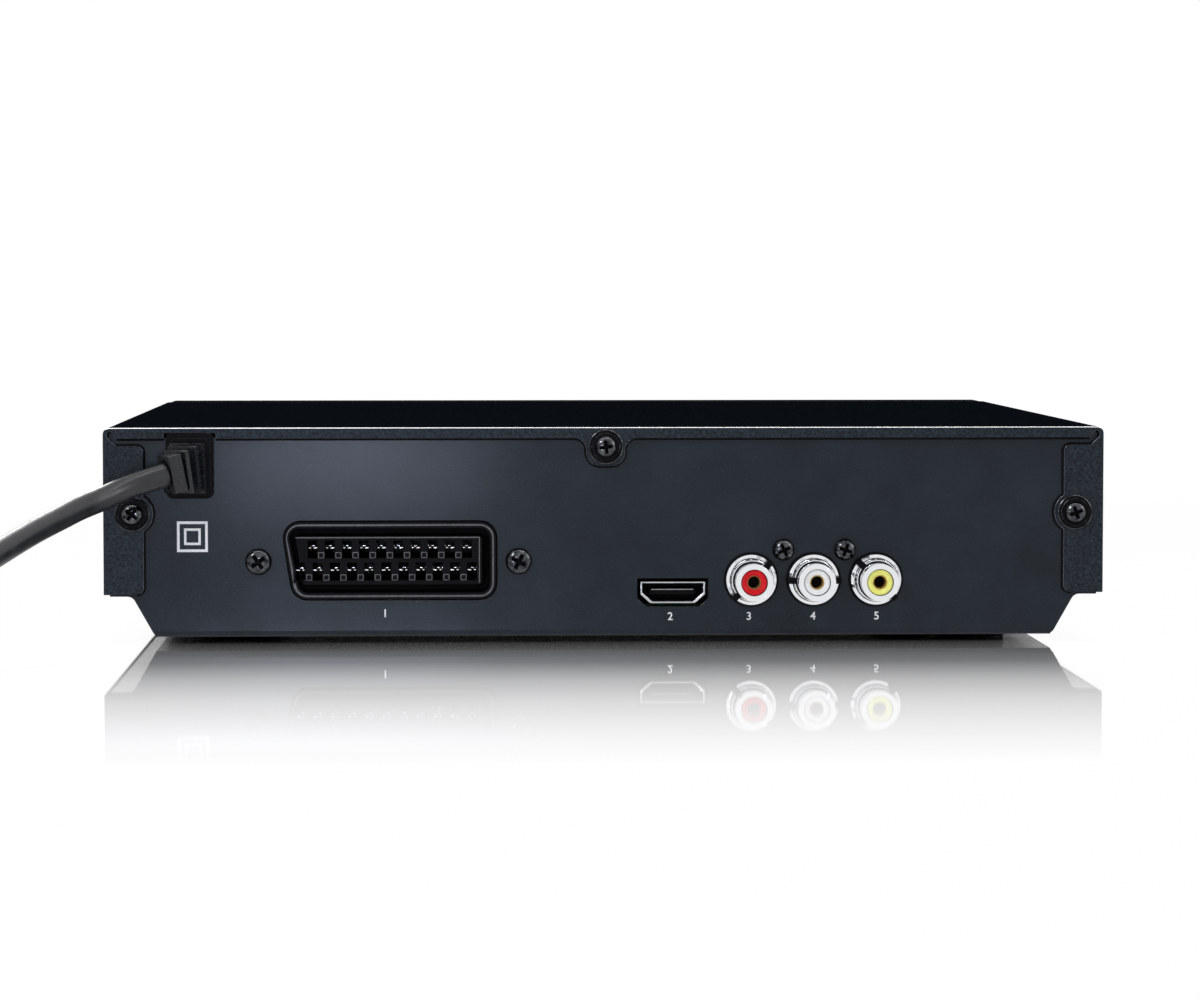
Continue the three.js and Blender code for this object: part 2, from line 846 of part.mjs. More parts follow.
wideScrewPlaces.forEach((spot, index) => {
  const screw = makeScrew(spot, rearY, wideScrewHead, wideScrewHead + touch);
  place(`wide_socket_screw_${index + 1}`, screw, darkMetal);
});
phonoScrewPlaces.forEach((spot, index) => {
  const screw = makeScrew(spot, rearY, phonoScrewHead, phonoScrewHead + touch);
  place(`phono_screw_${index + 1}`, screw, darkMetal);
});

// Front panel: a moulded box open to the rear, with the openings for door, window, buttons and socket
const windowZ = topZ - windowDrop;
const buttonZ = underZ + buttonRise;
const doorZ = trayTopZ - trayThickness / 2;
const panelInnerY = frontY + panelWall;
const buttonNames = ['open_close_button', 'play_pause_button', 'stop_button', 'power_button'];
const lastButtonX = half - lastButtonInset;
const buttonPlaces = buttonNames.map((_, index) => (
  lastButtonX - (buttonNames.length - 1 - index) * buttonPitch
));
const buttonOutline = (x, margin) => rectangle(
  x - buttonWidth / 2 - margin,
  x + buttonWidth / 2 + margin,
  buttonZ - buttonHeight / 2 - margin,
  buttonZ + buttonHeight / 2 + margin,
  buttonCorner + margin,
);
const windowOutline = (margin) => rectangle(
  windowX - windowWidth / 2 - margin,
  windowX + windowWidth / 2 + margin,
  windowZ - windowHeight / 2 - margin,
  windowZ + windowHeight / 2 + margin,
  windowCorner + margin,
);
const doorOutline = (margin) => rectangle(
  trayX - doorWidth / 2 - margin,
  trayX + doorWidth / 2 + margin,
  doorZ - doorHeight / 2 - margin,
  doorZ + doorHeight / 2 + margin,
  doorCorner + margin,
);
const frontBoardY = frontY + frontBoardSetback;
const frontBoardZ = underZ + frontBoardRise;
const frontBoardTopZ = topZ - frontBoardTopDrop;
const bossPlaces = corners(
  frontBoardX + bossInset,
  frontBoardX + frontBoardWidth - bossInset,
  frontBoardZ + bossInset,
  frontBoardTopZ - bossInset,
);
const mediaBlock = (margin, fromY, toY) => block(
  mediaX - mediaWidth / 2 - margin,
  mediaX + mediaWidth / 2 + margin,
  fromY,
  toY,
  buttonZ - mediaHeight / 2 - margin,
  buttonZ + mediaHeight / 2 + margin,
);
function makeFrontPanel() {
  const rearEdge = frontY + panelDepth;
  const outer = upright(rectangle(-half, half, underZ, topZ, panelCorner), frontY, rearEdge);
  const inner = upright(
    rectangle(-half + panelWall, half - panelWall, underZ + panelWall, topZ - panelWall),
    panelInnerY,
    rearEdge + overrun,
  );
  const bosses = bossPlaces.map(([x, z]) => (
    rodY(x, z, panelInnerY - overrun / 2, frontBoardY - touch, bossRadius, postSteps)
  ));
  const holes = [doorOutline(gap), windowOutline(gap / 2), ...buttonPlaces.map((x) => buttonOutline(x, gap))]
    .map((shape) => upright(shape, frontY - overrun, panelInnerY + overrun));
  const mediaHole = mediaBlock(gap, frontY - overrun, panelInnerY + overrun);
  return cut(join([outer.subtract(inner), ...bosses]), [...holes, mediaHole]);
}
place('front_panel', makeFrontPanel(), blackPlastic);

// Display window: a dark clear plate held from behind by its flange
const windowSeatY = panelInnerY + touch;
const windowFront = upright(windowOutline(0), frontY, windowSeatY + windowFlangeThickness);
const windowSeat = upright(windowOutline(windowFlange), windowSeatY, windowSeatY + windowFlangeThickness);
place('display_window', windowFront.add(windowSeat), darkLens);

// Front board: carries the button switches, the display tube and the media socket
const buttonTipY = frontBoardY - switchHeight - buttonTravel - touch;
function makeFrontBoard() {
  const boardRearY = frontBoardY + boardThickness;
  const boardMiddleY = frontBoardY + boardThickness / 2;
  const board = block(
    frontBoardX,
    frontBoardX + frontBoardWidth,
    frontBoardY,
    boardRearY,
    frontBoardZ,
    frontBoardTopZ,
  );
  const switches = buttonPlaces.map((x) => block(
    x - switchSide / 2,
    x + switchSide / 2,
    frontBoardY - switchHeight,
    boardMiddleY,
    buttonZ - switchSide / 2,
    buttonZ + switchSide / 2,
  ));
  const tube = block(
    windowX - windowWidth / 2,
    windowX + windowWidth / 2,
    frontBoardY - displayDepth,
    boardMiddleY,
    windowZ - windowHeight / 2,
    windowZ + windowHeight / 2,
  );
  const mediaHole = mediaBlock(gap, frontBoardY - overrun, boardRearY + overrun);
  return join([board, ...switches, tube]).subtract(mediaHole);
}
place('front_board', makeFrontBoard(), greenBoard);

// Media socket: a thin metal shell with a tongue, its mouth in the front panel
const mediaMouthY = frontY + mediaSetback;
const mediaRearY = mediaMouthY + mediaLength;
const mediaCavity = mediaBlock(-mediaWall, mediaMouthY - overrun, mediaRearY - mediaWall);
const mediaTongueTopZ = buttonZ + mediaHeight / 2 - mediaWall - mediaTongueGap;
const mediaTongue = block(
  mediaX - mediaTongueWidth / 2,
  mediaX + mediaTongueWidth / 2,
  mediaMouthY + mediaTongueSetback,
  mediaRearY - mediaWall / 2,
  mediaTongueTopZ - mediaTongueThickness,
  mediaTongueTopZ,
);
const mediaShell = mediaBlock(0, mediaMouthY, mediaRearY).subtract(mediaCavity);
place('media_socket', mediaShell.add(mediaTongue), brightMetal);

// Buttons: a cap in the panel, a flange behind it and a stem that meets its switch
buttonPlaces.forEach((x, index) => {
  const flangeFrontY = panelInnerY + touch;
  const cap = upright(buttonOutline(x, 0), frontY - buttonProud, flangeFrontY + buttonFlangeThickness / 2);
  const flange = upright(buttonOutline(x, buttonFlange), flangeFrontY, flangeFrontY + buttonFlangeThickness);
  const stem = rodY(x, buttonZ, flangeFrontY, buttonTipY, buttonStem, holeSteps);
  place(buttonNames[index], join([cap, flange, stem]), glossPlastic);
});

// Straight-sided teeth, alike on the gears and the racks
const gearPitchRadius = (module, teeth) => module * teeth / 2;
function gearOutline(module, teeth, turn) {
  const tip = gearPitchRadius(module, teeth) + module * addendumShare;
  const root = gearPitchRadius(module, teeth) - module * dedendumShare;
  const step = 2 * Math.PI / teeth;
  const flanks = [
    [root, -toothRootShare],
    [tip, -toothTipShare],
    [tip, toothTipShare],
    [root, toothRootShare],
  ];
  const points = Array.from({ length: teeth }, (_, tooth) => flanks.map(([radius, share]) => {
    const angle = turn + (tooth + share) * step;
    return [radius * Math.cos(angle), radius * Math.sin(angle)];
  }));
  return outline(points.flat());
}

// A rack's teeth point along X from its pitch line, one at each pitch from the first place
function rackOutline(module, teeth, pitchX, firstY, backing) {
  const pitch = Math.PI * module;
  const tipX = pitchX - module * addendumShare;
  const rootX = pitchX + module * dedendumShare;
  const flanks = [
    [rootX, -toothRootShare],
    [tipX, -toothTipShare],
    [tipX, toothTipShare],
    [rootX, toothRootShare],
  ];
  const points = Array.from({ length: teeth }, (_, tooth) => (
    flanks.map(([x, share]) => [x, firstY + (tooth + share) * pitch])
  )).flat();
  const backX = rootX + backing;
  return outline([...points, [backX, points.at(-1)[1]], [backX, points[0][1]]]);
}

// Disc tray: a plate with two disc recesses, the long slot for the pickup and a rack underneath
const gearRadius = gearPitchRadius(rackModule, trayGearTeeth);
const pinionRadius = gearPitchRadius(rackModule, pinionTeeth);
const rackPitch = Math.PI * rackModule;
const rackPitchX = trayX + trayWidth / 2 - rackInset - rackWidth - rackModule * dedendumShare;
const gearX = rackPitchX - gearRadius;
const gearY = frontY + gearFromFront;
const gearTopZ = trayUnderZ - gearUnderTray;
function makeTray() {
  const left = trayX - trayWidth / 2;
  const right = trayX + trayWidth / 2;
  const plate = flat(rectangle(left, right, trayFrontY, trayRearY, trayCorner), trayUnderZ, trayTopZ);
  const recessZ = trayTopZ - discRecess;
  const recess = rodZ(trayX, discY, recessZ, trayTopZ + overrun, discRadius, roundSteps * 3);
  const smallRecessZ = recessZ - smallDiscRecess;
  const smallRecess = rodZ(trayX, discY, smallRecessZ, trayTopZ, smallDiscRadius, roundSteps * 2);
  const slot = flat(
    rectangle(trayX - slotWidth / 2, trayX + slotWidth / 2, discY - slotFront, discY + slotRear, slotCorner),
    trayUnderZ - overrun,
    trayTopZ + overrun,
  );
  const firstToothY = gearY - rackPitch * Math.floor((gearY - trayFrontY) / rackPitch - toothRootShare);
  const rack = flat(
    rackOutline(rackModule, rackTeeth, rackPitchX, firstToothY, rackWidth),
    trayUnderZ - rackHeight,
    trayUnderZ + trayThickness / 4,
  );
  return cut(plate.add(rack), [recess, smallRecess, slot]);
}
place('disc_tray', makeTray(), trayGrey);

// Tray door: the strip that closes the opening in the front panel, clipped on the tray
place('tray_door', upright(doorOutline(0), frontY, frontY + doorThickness), blackPlastic);

// Loader frame: side walls with ledges under the tray, a front floor for the drive, a rear one for the deck
const frameLeft = trayX - frameOuterHalf;
const frameRight = trayX + frameOuterHalf;
const frameFloorZ = frameZ + frameFloor;
const frameTopZ = trayTopZ + frameTopAboveTray;
const pulleyX = gearX - gearRadius - pinionRadius;
const motorX = pulleyX - motorFromPulley;
const hingeY = discY + hingeFromDisc;
const hingeZ = underZ + hingeRise;
const deckHalf = deckWidth / 2;
function makeLoaderFrame() {
  const walls = [[frameLeft, frameLeft + frameWall], [frameRight - frameWall, frameRight]]
    .map(([fromX, toX]) => block(fromX, toX, frameFrontY, frameRearY, frameZ, frameTopZ));
  const ledgeTop = trayUnderZ - touch;
  const ledges = [
    [frameLeft + frameWall / 2, frameLeft + frameWall + frameLedge],
    [frameRight - frameWall - frameLedge, frameRight - frameWall / 2],
  ].map(([fromX, toX]) => block(fromX, toX, frameFrontY, frameRearY, ledgeTop - frameLedgeHeight, ledgeTop));
  const floors = [
    [frameFrontY, shellFrontY + frontFloorLength],
    [frameRearY - rearFloorLength, frameRearY],
  ].map(([fromY, toY]) => block(frameLeft, frameRight, fromY, toY, frameZ, frameFloorZ));
  const strips = [[frameLeft, frameLeft + floorStrip], [frameRight - floorStrip, frameRight]]
    .map(([fromX, toX]) => block(fromX, toX, frameFrontY, frameRearY, frameZ, frameFloorZ));
  const rearWall = block(frameLeft, frameRight, frameRearY - frameWall, frameRearY, frameZ, trayUnderZ - gap);
  const underFloorZ = frameFloorZ - frameFloor / 2;
  const posts = [[gearX, gearBottomZ], [pulleyX, pulleyZ]].flatMap(([x, seatZ]) => [
    rodZ(x, gearY, underFloorZ, gearTopZ - postHeadRoom, postRadius, holeSteps),
    rodZ(x, gearY, underFloorZ, seatZ - touch, postRadius * 2, holeSteps),
  ]);
  const ears = [-1, 1].map((side) => {
    const near = trayX + side * (deckHalf + gap * 2);
    const far = near + side * hingeEar;
    const fromX = Math.min(near, far);
    const toX = Math.max(near, far);
    const top = hingeZ + hingeRadius * 2;
    return block(fromX, toX, hingeY - hingeRadius * 3, hingeY + hingeRadius * 3, underFloorZ, top);
  });
  const earSlots = block(
    trayX - deckHalf - hingeLength - gap,
    trayX + deckHalf + hingeLength + gap,
    hingeY - hingeRadius - touch,
    hingeY + hingeRadius + touch,
    hingeZ - hingeRadius - touch,
    hingeZ + hingeRadius * 2 + overrun,
  );
  const motorHole = rodZ(motorX, gearY, frameZ - overrun, frameFloorZ + overrun, motorRadius + gap);
  const whole = join([...walls, ...ledges, ...floors, ...strips, rearWall, ...posts, ...ears]);
  return cut(whole, [earSlots, motorHole]);
}
const pulleyZ = underZ + pulleyRise;
const pulleyTopZ = pulleyZ + pulleyHeight;
const grooveZ = pulleyZ + pulleyHeight / 2;
const gearBottomZ = gearTopZ - gearHeight;
place('loader_frame', makeLoaderFrame(), blackPlastic);

// Tray gear: meets the rack above and the pulley's pinion beside it
const trayGear = flat(gearOutline(rackModule, trayGearTeeth, Math.PI / trayGearTeeth), gearBottomZ, gearTopZ)
  .subtract(rodZ(0, 0, gearBottomZ - overrun, gearTopZ + overrun, postRadius + touch, holeSteps));
place('tray_gear', trayGear.translate([gearX, gearY, 0]), whitePlastic);

// Pulleys and belt of the tray drive
function makePulley(radius, bore) {
  const groove = radius - pulleyGroove;
  const halfGroove = pulleyHeight / 2 - pulleyGrooveEdge;
  return turnedZ([
    [bore, pulleyZ],
    [radius, pulleyZ],
    [radius, pulleyZ + pulleyGrooveEdge],
    [groove, grooveZ - halfGroove * domeShare],
    [groove, grooveZ + halfGroove * domeShare],
    [radius, pulleyTopZ - pulleyGrooveEdge],
    [radius, pulleyTopZ],
    [bore, pulleyTopZ],
    [bore, pulleyZ],
  ], 0, 0);
}
const pinion = flat(gearOutline(rackModule, pinionTeeth, 0), pulleyTopZ - touch, gearTopZ - gap)
  .subtract(rodZ(0, 0, pulleyTopZ - overrun, gearTopZ + overrun, postRadius + touch, roundSteps));
const trayPulley = makePulley(pulleyRadius, postRadius + touch).add(pinion);
place('tray_pulley', trayPulley.translate([pulleyX, gearY, 0]), greyPlastic);
const motorPulley = makePulley(motorPulleyRadius, motorShaft + touch);
place('motor_pulley', motorPulley.translate([motorX, gearY, 0]), greyPlastic);

function beltOutline(margin) {
  const small = motorPulleyRadius - pulleyGroove + margin;
  const large = pulleyRadius - pulleyGroove + margin;
  const lean = Math.acos((large - small) / motorFromPulley);
  const shape = new THREE.Shape();
  shape.absarc(motorX, gearY, small, Math.PI - lean, Math.PI + lean, false);
  shape.absarc(pulleyX, gearY, large, Math.PI + lean, 3 * Math.PI - lean, false);
  return shape;
}
const beltBottomZ = grooveZ - beltHeight / 2;
const beltLoop = flat(beltOutline(gap + beltThickness), beltBottomZ, beltBottomZ + beltHeight, beltSteps);
const beltInside = flat(beltOutline(gap), grooveZ - beltHeight, grooveZ + beltHeight, beltSteps);
place('drive_belt', beltLoop.subtract(beltInside), blackRubber);

// Loading motor: a can in the frame's floor with its shaft upwards
const motorTopZ = pulleyZ - gap;
place('loading_motor', turnedZ([
  [0, motorTopZ - motorHeight],
  [motorRadius, motorTopZ - motorHeight],
  [motorRadius, motorTopZ],
  [motorShaft, motorTopZ],
  [motorShaft, pulleyTopZ + gap],
  [0, pulleyTopZ + gap],
], motorX, gearY), motorSteel);

// Clamp bridge over the tray and the clamper that hangs in it
const bridgeZ = frameTopZ + touch;
const bridgeTopZ = bridgeZ + bridgeThickness;
function makeBridge() {
  const fromY = discY - bridgeWidth / 2;
  const toY = discY + bridgeWidth / 2;
  const plate = block(frameLeft, frameRight, fromY, toY, bridgeZ, bridgeTopZ);
  const ribs = [[fromY, fromY + bridgeThickness], [toY - bridgeThickness, toY]]
    .map(([low, high]) => block(frameLeft, frameRight, low, high, bridgeTopZ - touch, bridgeTopZ + bridgeRib));
  return join([plate, ...ribs])
    .subtract(rodZ(trayX, discY, bridgeZ - overrun, bridgeTopZ + overrun, clampHole, roundSteps * 2));
}
place('clamp_bridge', makeBridge(), satinSteel);

const clamperSeatZ = bridgeTopZ + touch;
const clamperZ = bridgeZ - clampReach;
place('clamper', turnedZ([
  [0, clamperZ + clampBoreDepth],
  [clampBore, clamperZ + clampBoreDepth],
  [clampBore, clamperZ],
  [clampNeck, clamperZ],
  [clampNeck, clamperSeatZ],
  [clampFlange, clamperSeatZ],
  [clampFlange, clamperSeatZ + clampFlangeHeight],
  [0, clamperSeatZ + clampFlangeHeight],
], trayX, discY), greyPlastic);

// Deck: the plate that carries the disc motor and the pickup, lowered about its rear hinge
const deckGroup = new THREE.Group();
deckGroup.position.set(0, hingeY, hingeZ);
deckGroup.rotation.x = THREE.MathUtils.degToRad(deckTilt);
player.add(deckGroup);
const onDeck = (body) => body.translate([0, -hingeY, -hingeZ]);
const deckTopZ = trayUnderZ - deckTopUnderTray;
const deckUnderZ = deckTopZ - deckThickness;
const deckRearY = hingeY + deckRear;
const deckLeft = trayX - deckHalf;
const deckRight = trayX + deckHalf;
const rodZHeight = deckUnderZ - rodDrop;
const rodFrontY = discY + rodFront;
const rodRearY = discY + rodRear;
const sledRadius = gearPitchRadius(sledModule, sledGearTeeth);
const sledRackRootX = trayX - rodSpread - rodRadius - sheet - gap * 2 - sledRackWidth;
const sledRackX = sledRackRootX - sledModule * dedendumShare;
const sledGearX = sledRackX - sledRadius;
const sledGearPlaceY = discY + sledGearY;
const sledMotorRearY = sledGearPlaceY - sledRadius - sledModule - sledMotorGap;
function makeDeck() {
  const inDeckZ = deckUnderZ + deckThickness / 2;
  const deckFrontY = discY - deckFront;
  const plate = block(deckLeft, deckRight, deckFrontY, deckRearY, deckUnderZ, deckTopZ);
  const ribs = [
    [deckLeft, deckLeft + deckRibWall, deckFrontY, deckRearY],
    [deckRight - deckRibWall, deckRight, deckFrontY, deckRearY],
    [deckLeft, deckRight, deckFrontY, deckFrontY + deckRibWall],
  ].map(([fromX, toX, fromY, toY]) => block(fromX, toX, fromY, toY, deckUnderZ - deckRib, inDeckZ));
  const hubs = [
    [deckLeft - hingeLength, deckLeft + deckRibWall],
    [deckRight - deckRibWall, deckRight + hingeLength],
  ]
    .map(([fromX, toX]) => rodX(hingeY, hingeZ, fromX, toX, hingeRadius, holeSteps));
  const rodBlocks = [-1, 1].flatMap((side) => {
    const x = trayX + side * rodSpread;
    const width = rodRadius + sheet;
    return [[rodFrontY - rodBlockLength, rodFrontY], [rodRearY, rodRearY + rodBlockLength]]
      .map(([fromY, toY]) => block(x - width, x + width, fromY, toY, rodZHeight - width, inDeckZ));
  });
  const motorSeat = block(
    deckLeft + deckRibWall / 2,
    deckLeft + deckRibWall + sledMotorRadius * 2,
    sledMotorRearY - sledMotorLength / 2,
    sledMotorRearY - sledMotorLength / 4,
    deckUnderZ - sledMotorGap,
    inDeckZ,
  );
  const gearPost = rodZ(sledGearX, sledGearPlaceY, rodZHeight - rodRadius * 2, inDeckZ, sheet, holeSteps);
  const opening = block(
    trayX - deckSlotHalf,
    trayX + deckSlotHalf,
    discY + deckSlotFront,
    discY + deckSlotRear,
    deckUnderZ - overrun,
    deckTopZ + overrun,
  );
  const rodHoles = [-1, 1].map((side) => rodY(
    trayX + side * rodSpread,
    rodZHeight,
    rodFrontY - rodBlockLength / 2,
    rodRearY + rodBlockLength / 2,
    rodRadius + touch,
    holeSteps,
  ));
  const spindleOpening = rodZ(trayX, discY, deckUnderZ - overrun, deckTopZ + overrun, spindleHole);
  const body = join([plate, ...ribs, ...hubs, motorSeat, gearPost]).subtract(opening);
  return cut(join([body, ...rodBlocks]), [...rodHoles, spindleOpening]);
}
place('deck', onDeck(makeDeck()), blackPlastic, deckGroup);

// Disc motor and turntable
const turntableTopZ = deckTopZ + turntableTop;
const turntableUnderZ = turntableTopZ - turntableThickness;
const spindleMotorTopZ = deckUnderZ - touch;
place('spindle_motor', onDeck(turnedZ([
  [0, spindleMotorTopZ - spindleMotorHeight],
  [spindleMotorRadius, spindleMotorTopZ - spindleMotorHeight],
  [spindleMotorRadius, spindleMotorTopZ],
  [spindleBoss, spindleMotorTopZ],
  [spindleBoss, turntableUnderZ - touch],
  [0, turntableUnderZ - touch],
], trayX, discY)), motorSteel, deckGroup);
place('turntable', onDeck(turnedZ([
  [0, turntableUnderZ],
  [turntableRadius, turntableUnderZ],
  [turntableRadius, turntableTopZ],
  [hubRadius, turntableTopZ],
  [hubTipRadius, turntableTopZ + hubHeight],
  [0, turntableTopZ + hubHeight],
], trayX, discY)), blackPlastic, deckGroup);

// Guide rods of the pickup
[-1, 1].forEach((side, index) => {
  const rod = rodY(
    trayX + side * rodSpread,
    rodZHeight,
    rodFrontY - rodBlockLength / 2 + touch,
    rodRearY + rodBlockLength / 2 - touch,
    rodRadius,
    holeSteps,
  );
  place(`guide_rod_${index + 1}`, onDeck(rod), brightMetal, deckGroup);
});

// Pickup sled: carries the lens, rides on both rods and has its own rack
function makeSled() {
  const lensY = discY + sledRest;
  const fromY = lensY - sledLength / 2;
  const toY = lensY + sledLength / 2;
  const sledTopZ = deckUnderZ - sledTopUnderDeck;
  const reach = rodRadius + sheet;
  const underSledZ = sledTopZ - sledHeight;
  const body = block(trayX - sledHalfWidth, trayX + sledHalfWidth, fromY, toY, underSledZ, sledTopZ);
  const arms = [-1, 1].map((side) => {
    const x = trayX + side * rodSpread;
    return block(x - reach, x + reach, fromY, toY, rodZHeight - reach, rodZHeight + reach);
  });
  const rackLow = rodZHeight - sledGearHeight / 2;
  const rackHigh = rackLow + sledGearHeight;
  const firstToothY = sledGearPlaceY - Math.PI * sledModule * (sledRackTeeth - 2);
  const rackShape = rackOutline(sledModule, sledRackTeeth, sledRackX, firstToothY, sledRackWidth);
  const rack = flat(rackShape, rackLow, rackHigh);
  const rackBackX = sledRackX + sledModule * dedendumShare;
  const link = block(rackBackX, trayX - rodSpread, fromY, fromY + sledArm, rackLow, rackHigh);
  const lens = rodZ(trayX, lensY, sledTopZ - sheet, sledTopZ + lensRise, lensRadius);
  const bores = [-1, 1].map((side) => rodY(
    trayX + side * rodSpread,
    rodZHeight,
    fromY - overrun,
    toY + overrun,
    rodRadius + touch,
    holeSteps,
  ));
  return cut(join([body, ...arms, rack, link, lens]), bores);
}
place('pickup_sled', onDeck(makeSled()), darkMetal, deckGroup);

// Sled gear and its motor
const sledGearZ = rodZHeight - sledGearHeight / 2;
const sledGearTopZ = sledGearZ + sledGearHeight;
const sledGear = flat(gearOutline(sledModule, sledGearTeeth, Math.PI / sledGearTeeth), sledGearZ, sledGearTopZ)
  .subtract(rodZ(0, 0, sledGearZ - overrun, sledGearTopZ + overrun, sheet + touch, holeSteps));
place('sled_gear', onDeck(sledGear.translate([sledGearX, sledGearPlaceY, 0])), whitePlastic, deckGroup);
const sledMotorX = deckLeft + deckRibWall + sledMotorRadius + gap;
const sledMotorZ = deckUnderZ - sledMotorGap - sledMotorRadius - touch;
const sledMotorFrontY = sledMotorRearY - sledMotorLength;
const sledMotor = rodY(sledMotorX, sledMotorZ, sledMotorFrontY, sledMotorRearY, sledMotorRadius);
place('sled_motor', onDeck(sledMotor), motorSteel, deckGroup);

// Main board with its processor
function makeMainBoard() {
  const board = block(-mainBoardHalf, mainBoardHalf, mainBoardFrontY, mainBoardRearY, boardZ, boardTopZ);
  const chipY = mainBoardRearY - chipSetback;
  const chip = block(
    chipX - chipSide / 2,
    chipX + chipSide / 2,
    chipY - chipSide / 2,
    chipY + chipSide / 2,
    boardTopZ - boardThickness / 2,
    boardTopZ + chipHeight,
  );
  return board.add(chip);
}
place('main_board', makeMainBoard(), greenBoard);

// Power board with its transformer and capacitor
place('power_board', block(
  powerBoardX,
  powerBoardX + powerBoardWidth,
  powerBoardFrontY,
  powerBoardRearY,
  boardZ,
  boardTopZ,
), greenBoard);
function makeTransformer() {
  const midX = powerBoardX + powerBoardWidth / 2;
  const midY = powerBoardRearY - transformerInset - transformerLength / 2;
  const core = block(
    midX - transformerWidth / 2,
    midX + transformerWidth / 2,
    midY - transformerCore,
    midY + transformerCore,
    boardTopZ + touch,
    boardTopZ + transformerHeight,
  );
  const winding = block(
    midX - transformerWidth / 2 + transformerCore / 2,
    midX + transformerWidth / 2 - transformerCore / 2,
    midY - transformerLength / 2,
    midY + transformerLength / 2,
    boardTopZ + touch,
    boardTopZ + transformerHeight - transformerCore / 2,
  );
  return core.add(winding);
}
place('transformer', makeTransformer(), copperBrown);
place('capacitor', turnedZ([
  [0, boardTopZ + touch],
  [capacitorRadius, boardTopZ + touch],
  [capacitorRadius, boardTopZ + capacitorHeight - capacitorRim],
  [capacitorRadius - capacitorRim, boardTopZ + capacitorHeight],
  [0, boardTopZ + capacitorHeight],
], powerBoardX + powerBoardWidth / 2, powerBoardFrontY + capacitorInset), blackPlastic);

// Wide socket: a slanted ring round a block with two rows of cells
const wideFrontY = rearY + wideProud;
const wideRearY = rearY - wideDepth;
const contactPlaces = [
  [contactsAbove, contactShiftAbove, 1],
  [contactsBelow, contactShiftBelow, -1],
].flatMap(([count, shift, row]) => Array.from({ length: count }, (_, index) => {
  const fromMiddle = index - (count - 1) / 2;
  return [wideX + shift + fromMiddle * contactPitch, wideZ + row * cellRise];
}));
function makeWideSocket() {
  const earFrontY = wallInnerY - touch - wideEarThickness;
  const front = upright(wideInset(0), earFrontY, wideFrontY);
  const ears = block(
    wideX - wideEarWidth / 2,
    wideX + wideEarWidth / 2,
    earFrontY,
    wallInnerY - touch,
    wideZ - wideEarHeight / 2,
    wideZ + wideEarHeight / 2,
  );
  const body = upright(wideInset(wideWall / 2), wideRearY, wallInnerY - touch);
  const blockShape = wideOutline(wideBlockWidth, wideBlockHeight, wideBlockSlant, wideBlockCorner);
  const channelY = rearY - wideChannelDepth;
  const channel = upright(wideInset(wideWall), channelY, wideFrontY + overrun)
    .subtract(upright(blockShape, channelY - overrun, wideFrontY - wideBlockSetback));
  const cells = contactPlaces.map(([x, z]) => block(
    x - cellWidth / 2,
    x + cellWidth / 2,
    wideRearY - overrun,
    wideFrontY + overrun,
    z - cellHeight / 2,
    z + cellHeight / 2,
  ));
  const recess = block(
    wideX - combHalf - gap,
    wideX + combHalf + gap,
    wideRearY - overrun,
    wideRearY + combRecess,
    wideZ - combHeight / 2 - gap,
    wideZ + combHeight / 2 + gap,
  );
  const holes = wideScrewPlaces
    .map(([x, z]) => rodY(x, z, earFrontY - overrun, wallInnerY + overrun, screwShank + touch, holeSteps));
  return cut(join([front, ears, body]), [channel, ...cells, recess, ...holes]);
}
place('wide_socket', makeWideSocket(), blackPlastic);

// Contacts of the wide socket on their carrier behind the block
const combFrontY = wideRearY + combRecess - touch;
const comb = block(
  wideX - combHalf,
  wideX + combHalf,
  combFrontY - combThickness,
  combFrontY,
  wideZ - combHeight / 2,
  wideZ + combHeight / 2,
);
const contacts = contactPlaces.map(([x, z]) => block(
  x - contactWidth / 2,
  x + contactWidth / 2,
  combFrontY - combThickness / 2,
  wideFrontY - wideBlockSetback - contactSetback,
  z + contactLift - contactThickness / 2,
  z + contactLift + contactThickness / 2,
));
place('wide_socket_contacts', join([comb, ...contacts]), brightMetal);

// Digital socket: a folded metal shell round a plastic tongue
const digitalFrontY = rearY - digitalSetback;
const digitalRearY = digitalFrontY - digitalLength;
const digitalShell = upright(digitalOutline(0), digitalRearY, digitalFrontY)
  .subtract(upright(digitalOutline(-digitalWall), digitalRearY + digitalWall, digitalFrontY + overrun));
place('digital_socket', digitalShell, brightMetal);
const digitalInnerY = digitalRearY + digitalWall + touch;
const digitalTongue = block(
  digitalX - digitalTongueWidth / 2,
  digitalX + digitalTongueWidth / 2,
  digitalInnerY,
  digitalFrontY - digitalTongueSetback,
  digitalZ - digitalTongueHeight / 2,
  digitalZ + digitalTongueHeight / 2,
);
const digitalBaseY = digitalInnerY + digitalTongueBase;
const digitalBase = upright(digitalOutline(-digitalWall - touch), digitalInnerY, digitalBaseY);
place('digital_socket_tongue', digitalTongue.add(digitalBase), blackPlastic);

// Phono jacks: a block behind the wall, and for each jack a barrel and its coloured insulator
const phonoInnerY = wallInnerY - touch;
const phonoBlock = block(
  phonoPlaces[0] - phonoBlockMargin,
  phonoPlaces.at(-1) + phonoBlockMargin,
  phonoInnerY - phonoBlockDepth,
  phonoInnerY,
  boardTopZ + touch,
  phonoZ + phonoBlockTop,
);
const phonoSockets = phonoPlaces
  .map((x) => rodY(x, phonoZ, rearY - phonoTail - gap, rearY + overrun, phonoBarrel + touch));
const phonoScrewHoles = phonoScrewPlaces
  .map(([x, z]) => rodY(x, z, rearY - screwLength - gap, rearY + overrun, screwShank + touch, holeSteps));
place('phono_block', cut(phonoBlock, [...phonoSockets, ...phonoScrewHoles]), blackPlastic);

